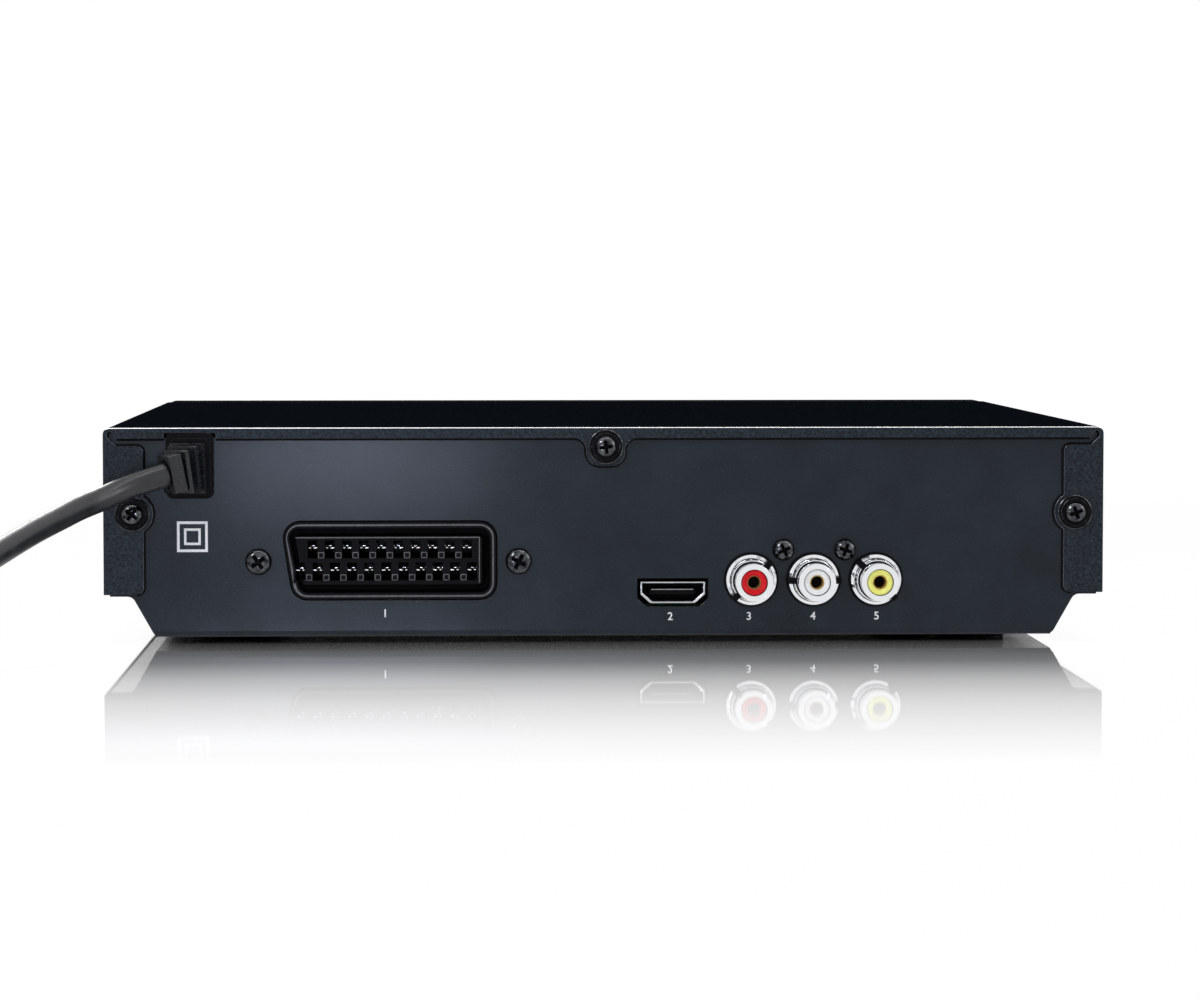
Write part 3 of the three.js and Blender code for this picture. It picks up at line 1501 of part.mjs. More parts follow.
const phonoNames = ['yellow', 'white', 'red'];
const phonoPlastics = [yellowPlastic, whitePlastic, redPlastic];
phonoPlaces.forEach((x, index) => {
  const ringTop = touch + phonoRingHeight;
  const stepTop = ringTop + phonoStepHeight;
  const barrel = turnedY([
    [phonoBore, -phonoTail],
    [phonoBarrel, -phonoTail],
    [phonoBarrel, touch],
    [phonoRing, touch],
    [phonoRing, ringTop],
    [phonoStep, ringTop],
    [phonoStep, stepTop],
    [phonoBarrel, stepTop],
    [phonoBarrel, phonoReach],
    [phonoBore, phonoReach],
    [phonoBore, -phonoTail],
  ], 0, 0);
  const slotFromX = phonoStep - phonoSlotDepth;
  const slotToX = phonoStep + overrun;
  const slots = [[-slotToX, -slotFromX], [slotFromX, slotToX]]
    .map(([fromX, toX]) => (
      block(fromX, toX, ringTop, stepTop - touch, -phonoSlotWidth / 2, phonoSlotWidth / 2)
    ))
    .map((slot) => slot.rotate([0, phonoSlotTurns[index], 0]));
  place(`phono_barrel_${phonoNames[index]}`, cut(barrel, slots).translate([x, rearY, phonoZ]), brightMetal);
  const tip = phonoReach - phonoInsulatorSetback;
  const insulator = turnedY([
    [0, -phonoTail],
    [phonoInsulator, -phonoTail],
    [phonoInsulator, tip],
    [phonoHole, tip],
    [phonoHole, tip - phonoHoleDepth],
    [0, tip - phonoHoleDepth],
  ], 0, 0);
  place(`phono_insulator_${phonoNames[index]}`, insulator.translate([x, rearY, phonoZ]), phonoPlastics[index]);
});

// Mains lead: the route of its free stretch, from the strain relief's mouth to the coil on the table,
// as places across, behind the socket wall and above the table
const leadRoute = [
  [98, 8.6, 38.4],
  [105.6, 12, 36],
  [111.1, 16.5, 33.7],
  [115.7, 22, 31.9],
  [119.4, 28, 30.1],
  [123.6, 36.5, 28],
  [128.2, 47, 25.3],
  [133.3, 58, 21.9],
  [139.2, 68.6, 17.3],
  [146.6, 77, 12.4],
  [155, 82.8, 8],
  [163.8, 85.2, 5],
  [171.2, 84.9, 3.7],
].map(([x, y, z]) => new THREE.Vector3(x, rearY + y, z));

// Coil: one tube that spirals in along the table, climbs a layer and spirals out again
const coilCentre = new THREE.Vector3(coilX, rearY + coilBehind, coilLift + leadDiameter / 2);
const coilLeast = coilMiddle - coilPitch * coilTurns / 4;
function coilPoint(turn) {
  const fromMiddle = turn - coilTurns / 2;
  const climb = THREE.MathUtils.clamp(fromMiddle / coilClimbTurns + 1 / 2, 0, 1);
  const away = THREE.MathUtils.smoothstep(turn, coilTurns - coilRunOutTurns, coilTurns);
  const radius = coilLeast + coilPitch * Math.abs(fromMiddle) + coilRunOut * away;
  const drop = (coilPitch + coilCentre.z - plugThickness / 2 - touch) * away;
  const angle = Math.PI / 2 - 2 * Math.PI * turn;
  const spot = new THREE.Vector3(Math.cos(angle), Math.sin(angle), 0).multiplyScalar(radius).add(coilCentre);
  spot.z += coilPitch * climb - drop;
  return spot;
}
const coilCount = Math.round(coilTurns * coilStepsPerTurn);
const coilLoops = Array.from({ length: coilCount + 1 }, (_, index) => (
  coilPoint(index * coilTurns / coilCount)
));
const coilEntry = coilLoops[0].clone().addScaledVector(alongX, -leadDiameter);
const coilExit = coilLoops.at(-1).clone().addScaledVector(alongY, -leadDiameter);
const coilPath = [coilEntry, ...coilLoops, coilExit];

// Least gap between turns that lie more than half a turn apart
function leastGap(points, diameter, apart) {
  let least = Infinity;
  points.forEach((point, index) => points.slice(index + apart).forEach((other) => {
    least = Math.min(least, point.distanceTo(other) - diameter);
  }));
  return least;
}
const coilGap = leastGap(coilPath, leadDiameter, coilStepsPerTurn / 2);
console.log(`least gap of the coil to itself: ${coilGap.toFixed(2)} mm`);

// A round tube along a path of points, with a ring of vertices at each
function tubeAlong(path, radius, sides) {
  const positions = [];
  const faces = [];
  path.forEach((point, index) => {
    const ahead = path[Math.min(index + 1, path.length - 1)];
    const behind = path[Math.max(index - 1, 0)];
    const tangent = ahead.clone().sub(behind).normalize();
    const across = tangent.clone().cross(alongZ).normalize();
    const up = across.clone().cross(tangent);
    for (let side = 0; side < sides; side += 1) {
      const angle = 2 * Math.PI * side / sides;
      const vertex = point.clone()
        .addScaledVector(across, radius * Math.cos(angle))
        .addScaledVector(up, radius * Math.sin(angle));
      positions.push(vertex.x, vertex.y, vertex.z);
      const next = (side + 1) % sides;
      const here = index * sides;
      if (index > 0) {
        faces.push(here + side, here - sides + next, here - sides + side);
        faces.push(here + side, here + next, here - sides + next);
      }
    }
  });
  const last = (path.length - 1) * sides;
  for (let side = 1; side < sides - 1; side += 1) {
    faces.push(0, side, side + 1);
    faces.push(last, last + side + 1, last + side);
  }
  const geometry = new THREE.BufferGeometry();
  geometry.setAttribute('position', new THREE.Float32BufferAttribute(positions, 3));
  geometry.setIndex(faces);
  geometry.computeVertexNormals();
  return geometry;
}
place('lead_coil', tubeAlong(coilPath, leadDiameter / 2, coilSides), blackPlastic);

// Tie: a thin strap round the whole section of the coil
const tieTurn = 1 / 2;
const tieOuter = coilPoint(tieTurn).distanceTo(coilCentre) + leadDiameter / 2 + gap;
const tieInner = coilLeast - leadDiameter / 2 - gap;
const tieTop = coilCentre.z + coilPitch + leadDiameter / 2 + gap;
const tieSection = (margin) => rectangle(
  coilCentre.y - tieOuter - margin,
  coilCentre.y - tieInner + margin,
  tieThickness - margin,
  tieTop + margin,
  sheet + margin,
);
const tieFromX = coilX - tieWidth / 2;
const tieToX = coilX + tieWidth / 2;
const tieHole = sideways(tieSection(0), tieFromX - overrun, tieToX + overrun);
place('coil_tie', sideways(tieSection(tieThickness), tieFromX, tieToX).subtract(tieHole), whitePlastic);

// The free stretch ends straight and square to the coil's first run
const leadEnd = coilEntry.clone().addScaledVector(alongX, -gap);
const leadCurve = new THREE.CatmullRomCurve3([
  ...leadRoute,
  leadEnd.clone().addScaledVector(alongX, -leadDiameter),
  leadEnd,
], false, 'centripetal');
const leadSection = new THREE.Shape();
leadSection.absarc(0, 0, leadDiameter / 2, 0, 2 * Math.PI, false);
place('mains_lead', solid(new THREE.ExtrudeGeometry(leadSection, {
  steps: leadSteps,
  curveSegments: leadSides / 2,
  extrudePath: leadCurve,
})), blackPlastic);
const pathLength = (points) => points.slice(1)
  .reduce((sum, point, index) => sum + point.distanceTo(points[index]), 0);
const woundLength = pathLength(coilPath);
console.log(`lead: ${leadCurve.getLength().toFixed(0)} mm free and ${woundLength.toFixed(0)} mm wound`);

// Strain relief: a plate on the socket wall, a plug through it, and ribs along a bent core to the mouth
function makeStrainRelief() {
  const seat = new THREE.Vector3(reliefX, rearY, reliefZ);
  const bend = seat.clone().add(new THREE.Vector3(reliefBendX, reliefBendY, -reliefBendDrop));
  const curve = new THREE.QuadraticBezierCurve3(seat, bend, leadRoute[0]);
  const slab = (share, length, width, height) => {
    const tangent = curve.getTangent(share);
    const across = tangent.clone().cross(alongZ).normalize();
    const up = across.clone().cross(tangent);
    const matrix = new THREE.Matrix4().makeBasis(across, tangent, up).setPosition(curve.getPoint(share));
    const piece = block(-width / 2, width / 2, -length, 0, -height / 2, height / 2);
    return piece.transform(matrix.elements);
  };
  const coreStep = curve.getLength() / reliefSteps;
  const end = 1 - gap / curve.getLength();
  const core = Array.from({ length: reliefSteps }, (_, index) => (
    slab(end * (index + 1) / reliefSteps, coreStep + touch, reliefCoreWidth, reliefCoreHeight)
  ));
  const ribs = reliefRibShares.map((share, index) => (
    slab(share, reliefRibThickness, reliefRibWidths[index], reliefRibHeights[index])
  ));
  const mouth = slab(end, reliefMouthLength, reliefMouthWidth, reliefMouthHeight);
  const plate = upright(rectangle(
    reliefX - reliefPlateWidth / 2,
    reliefX + reliefPlateWidth / 2,
    reliefZ - reliefPlateHeight / 2,
    reliefZ + reliefPlateHeight / 2,
    reliefPlateCorner,
  ), rearY + touch, rearY + reliefPlateThickness);
  const plugHalfWidth = reliefPlateWidth / 2 - reliefPlugMargin - touch;
  const plugHalfHeight = reliefPlateHeight / 2 - reliefPlugMargin - touch;
  const plug = block(
    reliefX - plugHalfWidth,
    reliefX + plugHalfWidth,
    rearY - reliefPlugLength,
    rearY + reliefPlateThickness / 2,
    reliefZ - plugHalfHeight,
    reliefZ + plugHalfHeight,
  );
  return join([plate, plug, ...core, ...ribs, mouth]);
}
place('strain_relief', makeStrainRelief(), blackPlastic);

// Mains plug: a moulded body with two round pins, lying beside the coil
function makePlug() {
  const faceY = coilExit.y - gap - plugTailLength - plugLength;
  const { x, z } = coilExit;
  const waistY = faceY + plugNeckStart;
  const body = flat(outline([
    [x - plugWidth / 2, faceY, sheet],
    [x + plugWidth / 2, faceY, sheet],
    [x + plugWidth / 2, waistY, plugCorner],
    [x + plugNeckWidth / 2, faceY + plugLength, plugCorner / 2],
    [x - plugNeckWidth / 2, faceY + plugLength, plugCorner / 2],
    [x - plugWidth / 2, waistY, plugCorner],
  ]), z - plugThickness / 2, z + plugThickness / 2);
  const tail = turnedY([
    [0, faceY + plugLength - sheet],
    [plugTailRadius, faceY + plugLength - sheet],
    [plugTailTip, coilExit.y - gap],
    [0, coilExit.y - gap],
  ], x, z);
  const pins = [-1, 1].map((side) => rodY(
    x + side * plugPinSpread / 2,
    z,
    faceY - plugPinLength,
    faceY + sheet,
    plugPinRadius,
    holeSteps,
  ));
  return join([body, tail, ...pins]);
}
place('mains_plug', makePlug(), blackPlastic);

export default player;
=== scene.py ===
import math

import bpy
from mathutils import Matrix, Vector


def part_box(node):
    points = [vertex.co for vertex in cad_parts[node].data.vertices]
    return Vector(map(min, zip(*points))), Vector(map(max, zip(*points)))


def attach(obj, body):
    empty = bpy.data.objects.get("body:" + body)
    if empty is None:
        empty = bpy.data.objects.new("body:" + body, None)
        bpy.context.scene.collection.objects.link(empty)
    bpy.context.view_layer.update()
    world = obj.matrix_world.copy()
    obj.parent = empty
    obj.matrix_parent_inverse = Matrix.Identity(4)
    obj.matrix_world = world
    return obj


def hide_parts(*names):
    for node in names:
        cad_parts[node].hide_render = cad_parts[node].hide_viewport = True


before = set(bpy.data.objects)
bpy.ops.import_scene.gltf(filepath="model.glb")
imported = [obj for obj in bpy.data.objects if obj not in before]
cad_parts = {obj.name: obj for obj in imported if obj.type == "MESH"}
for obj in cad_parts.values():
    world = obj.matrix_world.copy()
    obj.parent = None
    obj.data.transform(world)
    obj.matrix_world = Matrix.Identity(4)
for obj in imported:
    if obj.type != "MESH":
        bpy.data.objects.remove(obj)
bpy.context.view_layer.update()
bpy.ops.object.select_all(action="DESELECT")
mm = 0.001

# Camera: it stands behind the player, a little above its top and to the left of its middle,
# with a long lens, so that the rear wall is nearly square on and the top is a thin strip.
camera_place = Vector((35.6 * mm, 956 * mm, 80.9 * mm))
camera_turn = -0.0399
camera_tilt = -0.0565
camera_look = Vector((
    math.sin(camera_turn) * math.cos(camera_tilt),
    -math.cos(camera_turn) * math.cos(camera_tilt),
    math.sin(camera_tilt),
))
camera_lens = bpy.data.cameras.new("camera")
camera_lens.sensor_width = 36
camera_lens.lens = 115
camera_lens.clip_start = 10 * mm
camera = bpy.data.objects.new("camera", camera_lens)
camera.location = camera_place
camera.rotation_euler = camera_look.to_track_quat("-Z", "Y").to_euler()
bpy.context.scene.collection.objects.link(camera)
bpy.context.scene.camera = camera
bpy.context.scene.view_settings.view_transform = "Standard"

# Studio: a white room that shows white to the camera and in gloss, and lights the player softly.
# A small cool lamp low behind the player gives the rear wall its sheen, a high one lights the
# back from the left, a narrow one hangs over the rear edge, and two light the other sides.
plain_white = (1, 1, 1, 1)


def shading(tree, kind, **sockets):
    """The output of a new shader of this kind, with these values on its sockets."""
    shader = tree.nodes.new("ShaderNode" + kind)
    for socket, value in sockets.items():
        shader.inputs[socket].default_value = value
    return shader.outputs[0]


def worked_out(tree, operation, *parts):
    """The result of one sum in a node tree. Each part is a socket or a plain number."""
    step = tree.nodes.new("ShaderNodeMath")
    step.operation = operation
    for socket, part in zip(step.inputs, parts):
        if isinstance(part, bpy.types.NodeSocket):
            tree.links.new(part, socket)
        else:
            socket.default_value = part
    return step.outputs[0]


def mixed(tree, share, first, second):
    """Two shaders in one, with this share of the second."""
    mix = tree.nodes.new("ShaderNodeMixShader")
    for socket, source in zip(mix.inputs, (share, first, second)):
        tree.links.new(source, socket)
    return mix.outputs[0]


def seen_directly(tree):
    """1 for rays from the camera, in gloss and through glass, and 0 for light on the player."""
    ray = tree.nodes.new("ShaderNodeLightPath").outputs
    gloss = worked_out(tree, "MAXIMUM", ray["Is Camera Ray"], ray["Is Glossy Ray"])
    return worked_out(tree, "MAXIMUM", gloss, ray["Is Transmission Ray"])


def hang_lamp(name, place, aim, width, height, watts, colour=(1, 1, 1)):
    """A flat lamp that is turned towards its aim and stays out of the camera's sight."""
    data = bpy.data.lights.new(name, "AREA")
    data.shape = "RECTANGLE"
    data.size = width
    data.size_y = height
    data.energy = watts
    data.color = colour
    lamp = bpy.data.objects.new(name, data)
    lamp.location = place
    lamp.rotation_euler = (Vector(aim) - Vector(place)).to_track_quat("-Z", "Y").to_euler()
    lamp.visible_camera = False
    bpy.context.scene.collection.objects.link(lamp)


studio = bpy.data.worlds.new("studio")
bpy.context.scene.world = studio
studio.use_nodes = True
room = studio.node_tree
room.nodes.clear()
room_light = shading(room, "Background", Color=plain_white, Strength=0.25)
room_white = shading(room, "Background", Color=plain_white, Strength=1)
room_out = room.nodes.new("ShaderNodeOutputWorld")
room.links.new(mixed(room, seen_directly(room), room_light, room_white), room_out.inputs["Surface"])
hang_lamp(
    "sheen_lamp", place=(0.064, 0.3, 0.034), aim=(0.056, 0.096, 0.038),
    width=0.06, height=0.008, watts=0.062, colour=(0.7, 0.75, 1),
)
hang_lamp(
    "rear_lamp", place=(0.8, 0.85, 0.85), aim=(0.05, 0.1, 0.03),
    width=0.45, height=0.35, watts=8,
)
hang_lamp(
    "strip_lamp", place=(0, 0.16, 0.8), aim=(0, 0.12, 0.03),
    width=1.6, height=0.05, watts=2.6,
)
hang_lamp(
    "side_lamp", place=(-1.3, 0.5, 0.7), aim=(-0.1, 0, 0.03),
    width=0.7, height=0.7, watts=5,
)
hang_lamp(
    "front_lamp", place=(0.5, -1.4, 0.9), aim=(0, -0.1, 0.03),
    width=0.9, height=0.7, watts=12,
)

# Table: a pale polished top that mirrors the foot of the player and fades to plain white
# towards the viewer. It keeps the player's soft shadow.
table_side = 8
table_drop = 0.1 * mm
player_halves = (("X", 112.5 * mm), ("Y", 98 * mm))
shade_inside = 8 * mm
shade_outside = 1 * mm
white_reach = 500 * mm
mirror_reach = 250 * mm
mirror_fade = (
    (0, 0.96), (0.16, 0.84), (0.32, 0.53), (0.47, 0.32), (0.61, 0.19), (0.73, 0.09), (0.86, 0),
)


def ranged(tree, value, start, end, low, high):
    """A value turned from the range from start to end into that from low to high."""
    turned_value = tree.nodes.new("ShaderNodeMapRange")
    bounds = {"From Min": start, "From Max": end, "To Min": low, "To Max": high}
    for socket, bound in bounds.items():
        turned_value.inputs[socket].default_value = bound
    tree.links.new(value, turned_value.inputs["Value"])
    return turned_value.outputs[0]


def seen_aslant(tree):
    """0 where a surface is seen straight on and 1 where it is seen along itself."""
    view_angle = tree.nodes.new("ShaderNodeLayerWeight")
    view_angle.inputs["Blend"].default_value = 0.5
    return view_angle.outputs["Facing"]


bpy.ops.mesh.primitive_plane_add(size=table_side, location=(0, 0, -table_drop))
table = bpy.context.object
table.name = "table"
table_finish = bpy.data.materials.new("table_finish")
table_finish.use_nodes = True
tree = table_finish.node_tree
tree.nodes.clear()
place = tree.nodes.new("ShaderNodeTexCoord")
axes = tree.nodes.new("ShaderNodeSeparateXYZ")
tree.links.new(place.outputs["Object"], axes.inputs[0])
beyond = [
    worked_out(tree, "SUBTRACT", worked_out(tree, "ABSOLUTE", axes.outputs[axis]), half_side)
    for axis, half_side in player_halves
]
distance = worked_out(tree, "MAXIMUM", *beyond)
fade = tree.nodes.new("ShaderNodeValToRGB")
while len(fade.color_ramp.elements) < len(mirror_fade):
    fade.color_ramp.elements.new(0.5)
for element, (reach_share, strength) in zip(fade.color_ramp.elements, mirror_fade):
    element.position = reach_share
    element.color = (strength, strength, strength, 1)
tree.links.new(worked_out(tree, "DIVIDE", distance, mirror_reach), fade.inputs["Fac"])
low_view = ranged(tree, seen_aslant(tree), 0.6, 0.9, 0.06, 1)
mirror_share = worked_out(tree, "MULTIPLY", fade.outputs["Color"], low_view)
white_share = ranged(tree, distance, 0, white_reach, 0.9, 1)
outside = ranged(tree, distance, -shade_inside, shade_outside, 0, 1)
lit_share = worked_out(tree, "MULTIPLY", white_share, outside)
shown = worked_out(tree, "MULTIPLY", lit_share, seen_directly(tree))
plain = shading(tree, "BsdfDiffuse", Color=(0.9, 0.9, 0.9, 1))
white = shading(tree, "Emission", Color=plain_white, Strength=1)
mirror = shading(tree, "BsdfGlossy", Color=plain_white, Roughness=0.03)
surface = mixed(tree, mirror_share, mixed(tree, shown, plain, white), mirror)
table_out = tree.nodes.new("ShaderNodeOutputMaterial")
tree.links.new(surface, table_out.inputs["Surface"])
table.data.materials.append(table_finish)
bpy.ops.object.select_all(action="DESELECT")

# Chassis: a pan of 1 mm sheet steel, folded up into the rear wall with its sloped lower sides,
# punched for the sockets and vents and coated with a smooth satin grey-black paint.
wall_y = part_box("chassis")[1].y
crease = math.radians(38)
flat_within = math.radians(1)
doubles_within = 0.004 * mm


def painted(name, colour, roughness, **sockets):
    """A material whose shader has this colour and these values, and its node tree and shader."""
    material = bpy.data.materials.new(name)
    material.use_nodes = True
    shader = material.node_tree.nodes["Principled BSDF"]
    shader.inputs["Base Color"].default_value = (*colour, 1)
    shader.inputs["Roughness"].default_value = roughness
    for socket, value in sockets.items():
        shader.inputs[socket.replace("_", " ")].default_value = value
    return material, material.node_tree, shader


def add_grain(
        tree, shader, size, colours=None, roughness=None, bump=0, softness=0.5, stretch=(1, 1, 1)):
    """Fine noise of that size on a piece: between two colours, two roughnesses, and as a bump."""
    place = tree.nodes.new("ShaderNodeTexCoord")
    mapping = tree.nodes.new("ShaderNodeMapping")
    mapping.inputs["Scale"].default_value = stretch
    tree.links.new(place.outputs["Object"], mapping.inputs["Vector"])
    noise = tree.nodes.new("ShaderNodeTexNoise")
    noise.inputs["Scale"].default_value = 1 / size
    noise.inputs["Detail"].default_value = 3
    noise.inputs["Roughness"].default_value = softness
    tree.links.new(mapping.outputs["Vector"], noise.inputs["Vector"])
    if colours:
        ramp = tree.nodes.new("ShaderNodeValToRGB")
        for element, position, colour in zip(ramp.color_ramp.elements, (0.32, 0.68), colours):
            element.position = position
            element.color = (*colour, 1)
        tree.links.new(noise.outputs["Fac"], ramp.inputs["Fac"])
        tree.links.new(ramp.outputs["Color"], shader.inputs["Base Color"])
    if roughness:
        spread = ranged(tree, noise.outputs["Fac"], 0.3, 0.7, *roughness)
        tree.links.new(spread, shader.inputs["Roughness"])
    if bump:
        relief = tree.nodes.new("ShaderNodeBump")
        relief.inputs["Strength"].default_value = 1
        relief.inputs["Distance"].default_value = bump
        tree.links.new(noise.outputs["Fac"], relief.inputs["Height"])
        tree.links.new(relief.outputs["Normal"], shader.inputs["Normal"])


def select_only(piece):
    bpy.ops.object.select_all(action="DESELECT")
    bpy.context.view_layer.objects.active = piece
    piece.select_set(True)


def finish_piece(piece, body, finish, rounding=0, segments=2, nodes=()):
    """Rounds a piece's edges, smooths its faces and hands it over with its finish."""
    select_only(piece)
    if rounding:
        edge = piece.modifiers.new("edge", "BEVEL")
        edge.width = rounding
        edge.segments = segments
        edge.limit_method = "ANGLE"
        edge.angle_limit = crease
        edge.use_clamp_overlap = True
        bpy.ops.object.modifier_apply(modifier=edge.name)
    bpy.ops.object.shade_smooth_by_angle(angle=crease)
    level = piece.modifiers.new("level", "WEIGHTED_NORMAL")
    level.keep_sharp = True
    level.weight = 100
    bpy.ops.object.modifier_apply(modifier=level.name)
    piece.data.materials.clear()
    piece.data.materials.append(finish)
    piece.select_set(False)
    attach(piece, body)
    if nodes:
        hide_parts(*nodes)
    return piece


def softened(node, body, finish, rounding, segments=2, name=None):
    """A copy of a CAD piece with doubles merged, flats made whole, round edges and its finish."""
    piece = bpy.data.objects.new(name or node + "_finished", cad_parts[node].data.copy())
    bpy.context.scene.collection.objects.link(piece)
    select_only(piece)
    bpy.ops.object.mode_set(mode="EDIT")
    bpy.ops.mesh.select_all(action="SELECT")
    bpy.ops.mesh.remove_doubles(threshold=doubles_within)
    bpy.ops.mesh.dissolve_limited(angle_limit=flat_within)
    bpy.ops.object.mode_set(mode="OBJECT")
    return finish_piece(piece, body, finish, rounding, segments, nodes=(node,))


panel_paint, tree, shader = painted(
    "panel_paint", (0.010, 0.012, 0.016), 0.25, Specular_IOR_Level=0.2,
)
add_grain(tree, shader, 18 * mm, ((0.006, 0.0105, 0.016), (0.012, 0.0185, 0.028)), softness=0.65)
add_grain(tree, shader, 0.35 * mm, roughness=(0.22, 0.29), bump=0.004 * mm)
chassis = softened("chassis", "housing", panel_paint, rounding=0.25 * mm)

# Feet: four turned pads of black rubber, pressed into the floor of the chassis.
# The rubber is dull and a little grey.
rubber, tree, shader = painted("foot_rubber", (0.022, 0.022, 0.023), 0.6)
add_grain(tree, shader, 0.5 * mm, ((0.012, 0.012, 0.013), (0.022, 0.022, 0.023)), bump=0.02 * mm)
for node in ("foot_1", "foot_2", "foot_3", "foot_4"):
    softened(node, "housing", rubber, rounding=0.2 * mm, name=node + "_pad")

# Circuit boards: green lacquered boards with a pattern of tracks, screwed to the chassis floor
# and behind the front panel. Processor and switches are soldered to them.
board_green, tree, shader = painted("board_green", (0.012, 0.09, 0.036), 0.3)
tracks = tree.nodes.new("ShaderNodeTexBrick")
track_pattern = {
    "Scale": 260,
    "Mortar Size": 0.06,
    "Brick Width": 5,
    "Row Height": 0.4,
    "Color1": (0.008, 0.07, 0.028, 1),
    "Color2": (0.018, 0.12, 0.046, 1),
    "Mortar": (0.035, 0.15, 0.06, 1),
}
for socket, value in track_pattern.items():
    tracks.inputs[socket].default_value = value
board_place = tree.nodes.new("ShaderNodeTexCoord")
tree.links.new(board_place.outputs["Object"], tracks.inputs["Vector"])
tree.links.new(tracks.outputs["Color"], shader.inputs["Base Color"])
add_grain(tree, shader, 4 * mm, roughness=(0.25, 0.4), bump=0.02 * mm)
for node in ("main_board", "power_board", "front_board"):
    softened(node, "housing", board_green, rounding=0.12 * mm, segments=1)

# Transformer and capacitor: a wound ferrite core in amber tape and a sleeved aluminium can,
# both soldered to the power board.
amber_tape, tree, shader = painted("amber_tape", (0.3, 0.15, 0.03), 0.35)
add_grain(
    tree, shader, 1.2 * mm, ((0.2, 0.1, 0.02), (0.36, 0.2, 0.05)),
    bump=0.05 * mm, stretch=(0.1, 0.1, 1),
)
softened("transformer", "housing", amber_tape, rounding=0.6 * mm)
sleeve, tree, shader = painted("capacitor_sleeve", (0.012, 0.014, 0.02), 0.3)
add_grain(tree, shader, 6 * mm, ((0.010, 0.012, 0.02), (0.02, 0.022, 0.032)), roughness=(0.25, 0.4))
softened("capacitor", "housing", sleeve, rounding=0.3 * mm)

# Loader: the tray slides in a moulded frame, driven by a motor over a belt, a pulley and a gear.
# A steel bridge over the frame holds the clamper, a white disc that presses on the spinning disc.
tray_grey, tree, shader = painted("tray_grey", (0.02, 0.022, 0.025), 0.5)
add_grain(
    tree, shader, 0.6 * mm, ((0.015, 0.017, 0.019), (0.025, 0.027, 0.031)),
    roughness=(0.44, 0.58), bump=0.01 * mm,
)
softened("disc_tray", "tray", tray_grey, rounding=0.3 * mm)


def dull_at_edge(tree, shader, near, far, straight):
    """Fades a shader's gloss from its value seen straight on to none seen along the surface."""
    gloss = ranged(tree, seen_aslant(tree), near, far, straight, 0)
    tree.links.new(gloss, shader.inputs["Specular IOR Level"])


moulded_black, tree, shader = painted("moulded_black", (0.013, 0.014, 0.016), 0.42)
add_grain(
    tree, shader, 0.45 * mm, ((0.008, 0.009, 0.010), (0.014, 0.015, 0.017)),
    roughness=(0.3, 0.4), bump=0.006 * mm,
)
dull_at_edge(tree, shader, near=0.25, far=0.5, straight=0.4)
softened("loader_frame", "housing", moulded_black, rounding=0.25 * mm)
softened("clamp_bridge", "housing", panel_paint, rounding=0.2 * mm)
gear_white, tree, shader = painted("gear_white", (0.78, 0.77, 0.72), 0.4, Subsurface_Weight=0.08)
shader.inputs["Subsurface Radius"].default_value = (1 * mm, 1 * mm, 0.8 * mm)
add_grain(tree, shader, 2 * mm, ((0.72, 0.71, 0.66), (0.8, 0.79, 0.75)), roughness=(0.34, 0.46))
softened("clamper", "disc_clamp", gear_white, rounding=0.3 * mm)
softened("tray_gear", "drive_gear", gear_white, rounding=0.1 * mm, segments=1)
softened("sled_gear", "sled_wheel", gear_white, rounding=0.1 * mm, segments=1)
pulley_grey, tree, shader = painted("pulley_grey", (0.24, 0.25, 0.27), 0.42)
add_grain(tree, shader, 1.5 * mm, ((0.21, 0.22, 0.24), (0.28, 0.29, 0.31)), roughness=(0.36, 0.5))
softened("tray_pulley", "drive_pulley", pulley_grey, rounding=0.15 * mm)
softened("motor_pulley", "motor_wheel", pulley_grey, rounding=0.15 * mm)
softened("drive_belt", "housing", rubber, rounding=0.2 * mm)
zinc, tree, shader = painted("zinc_plate", (0.5, 0.51, 0.53), 0.34, Metallic=1)
add_grain(
    tree, shader, 1.5 * mm, ((0.42, 0.43, 0.45), (0.56, 0.57, 0.59)),
    roughness=(0.28, 0.42), bump=0.004 * mm,
)
softened("loading_motor", "housing", zinc, rounding=0.3 * mm)

# Pickup deck: a moulded plate that carries the disc motor, the two ground rods, the sled and its
# motor. The sled holds a small blue-black glass lens under the disc.
softened("deck", "deck_plate", moulded_black, rounding=0.25 * mm)
softened("spindle_motor", "deck_plate", zinc, rounding=0.3 * mm)
softened("sled_motor", "deck_plate", zinc, rounding=0.25 * mm)
ground_steel, tree, shader = painted("ground_steel", (0.62, 0.63, 0.65), 0.16, Metallic=1)
add_grain(tree, shader, 0.3 * mm, roughness=(0.12, 0.22), bump=0.001 * mm, stretch=(1, 0.05, 1))
softened("guide_rod_1", "deck_plate", ground_steel, rounding=0.25 * mm)
softened("guide_rod_2", "deck_plate", ground_steel, rounding=0.25 * mm)
softened("turntable", "disc_table", moulded_black, rounding=0.25 * mm)
sled = softened("pickup_sled", "sled", moulded_black, rounding=0.25 * mm)
lens_glass, tree, shader = painted("lens_glass", (0.03, 0.05, 0.16), 0.05, Coat_Weight=0.8)
add_grain(tree, shader, 3 * mm, roughness=(0.03, 0.08))
sled.data.materials.append(lens_glass)
lens_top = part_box("pickup_sled")[1].z
lens_depth = 0.15 * mm
for face in sled.data.polygons:
    if face.center.z > lens_top - lens_depth:
        face.material_index = 1

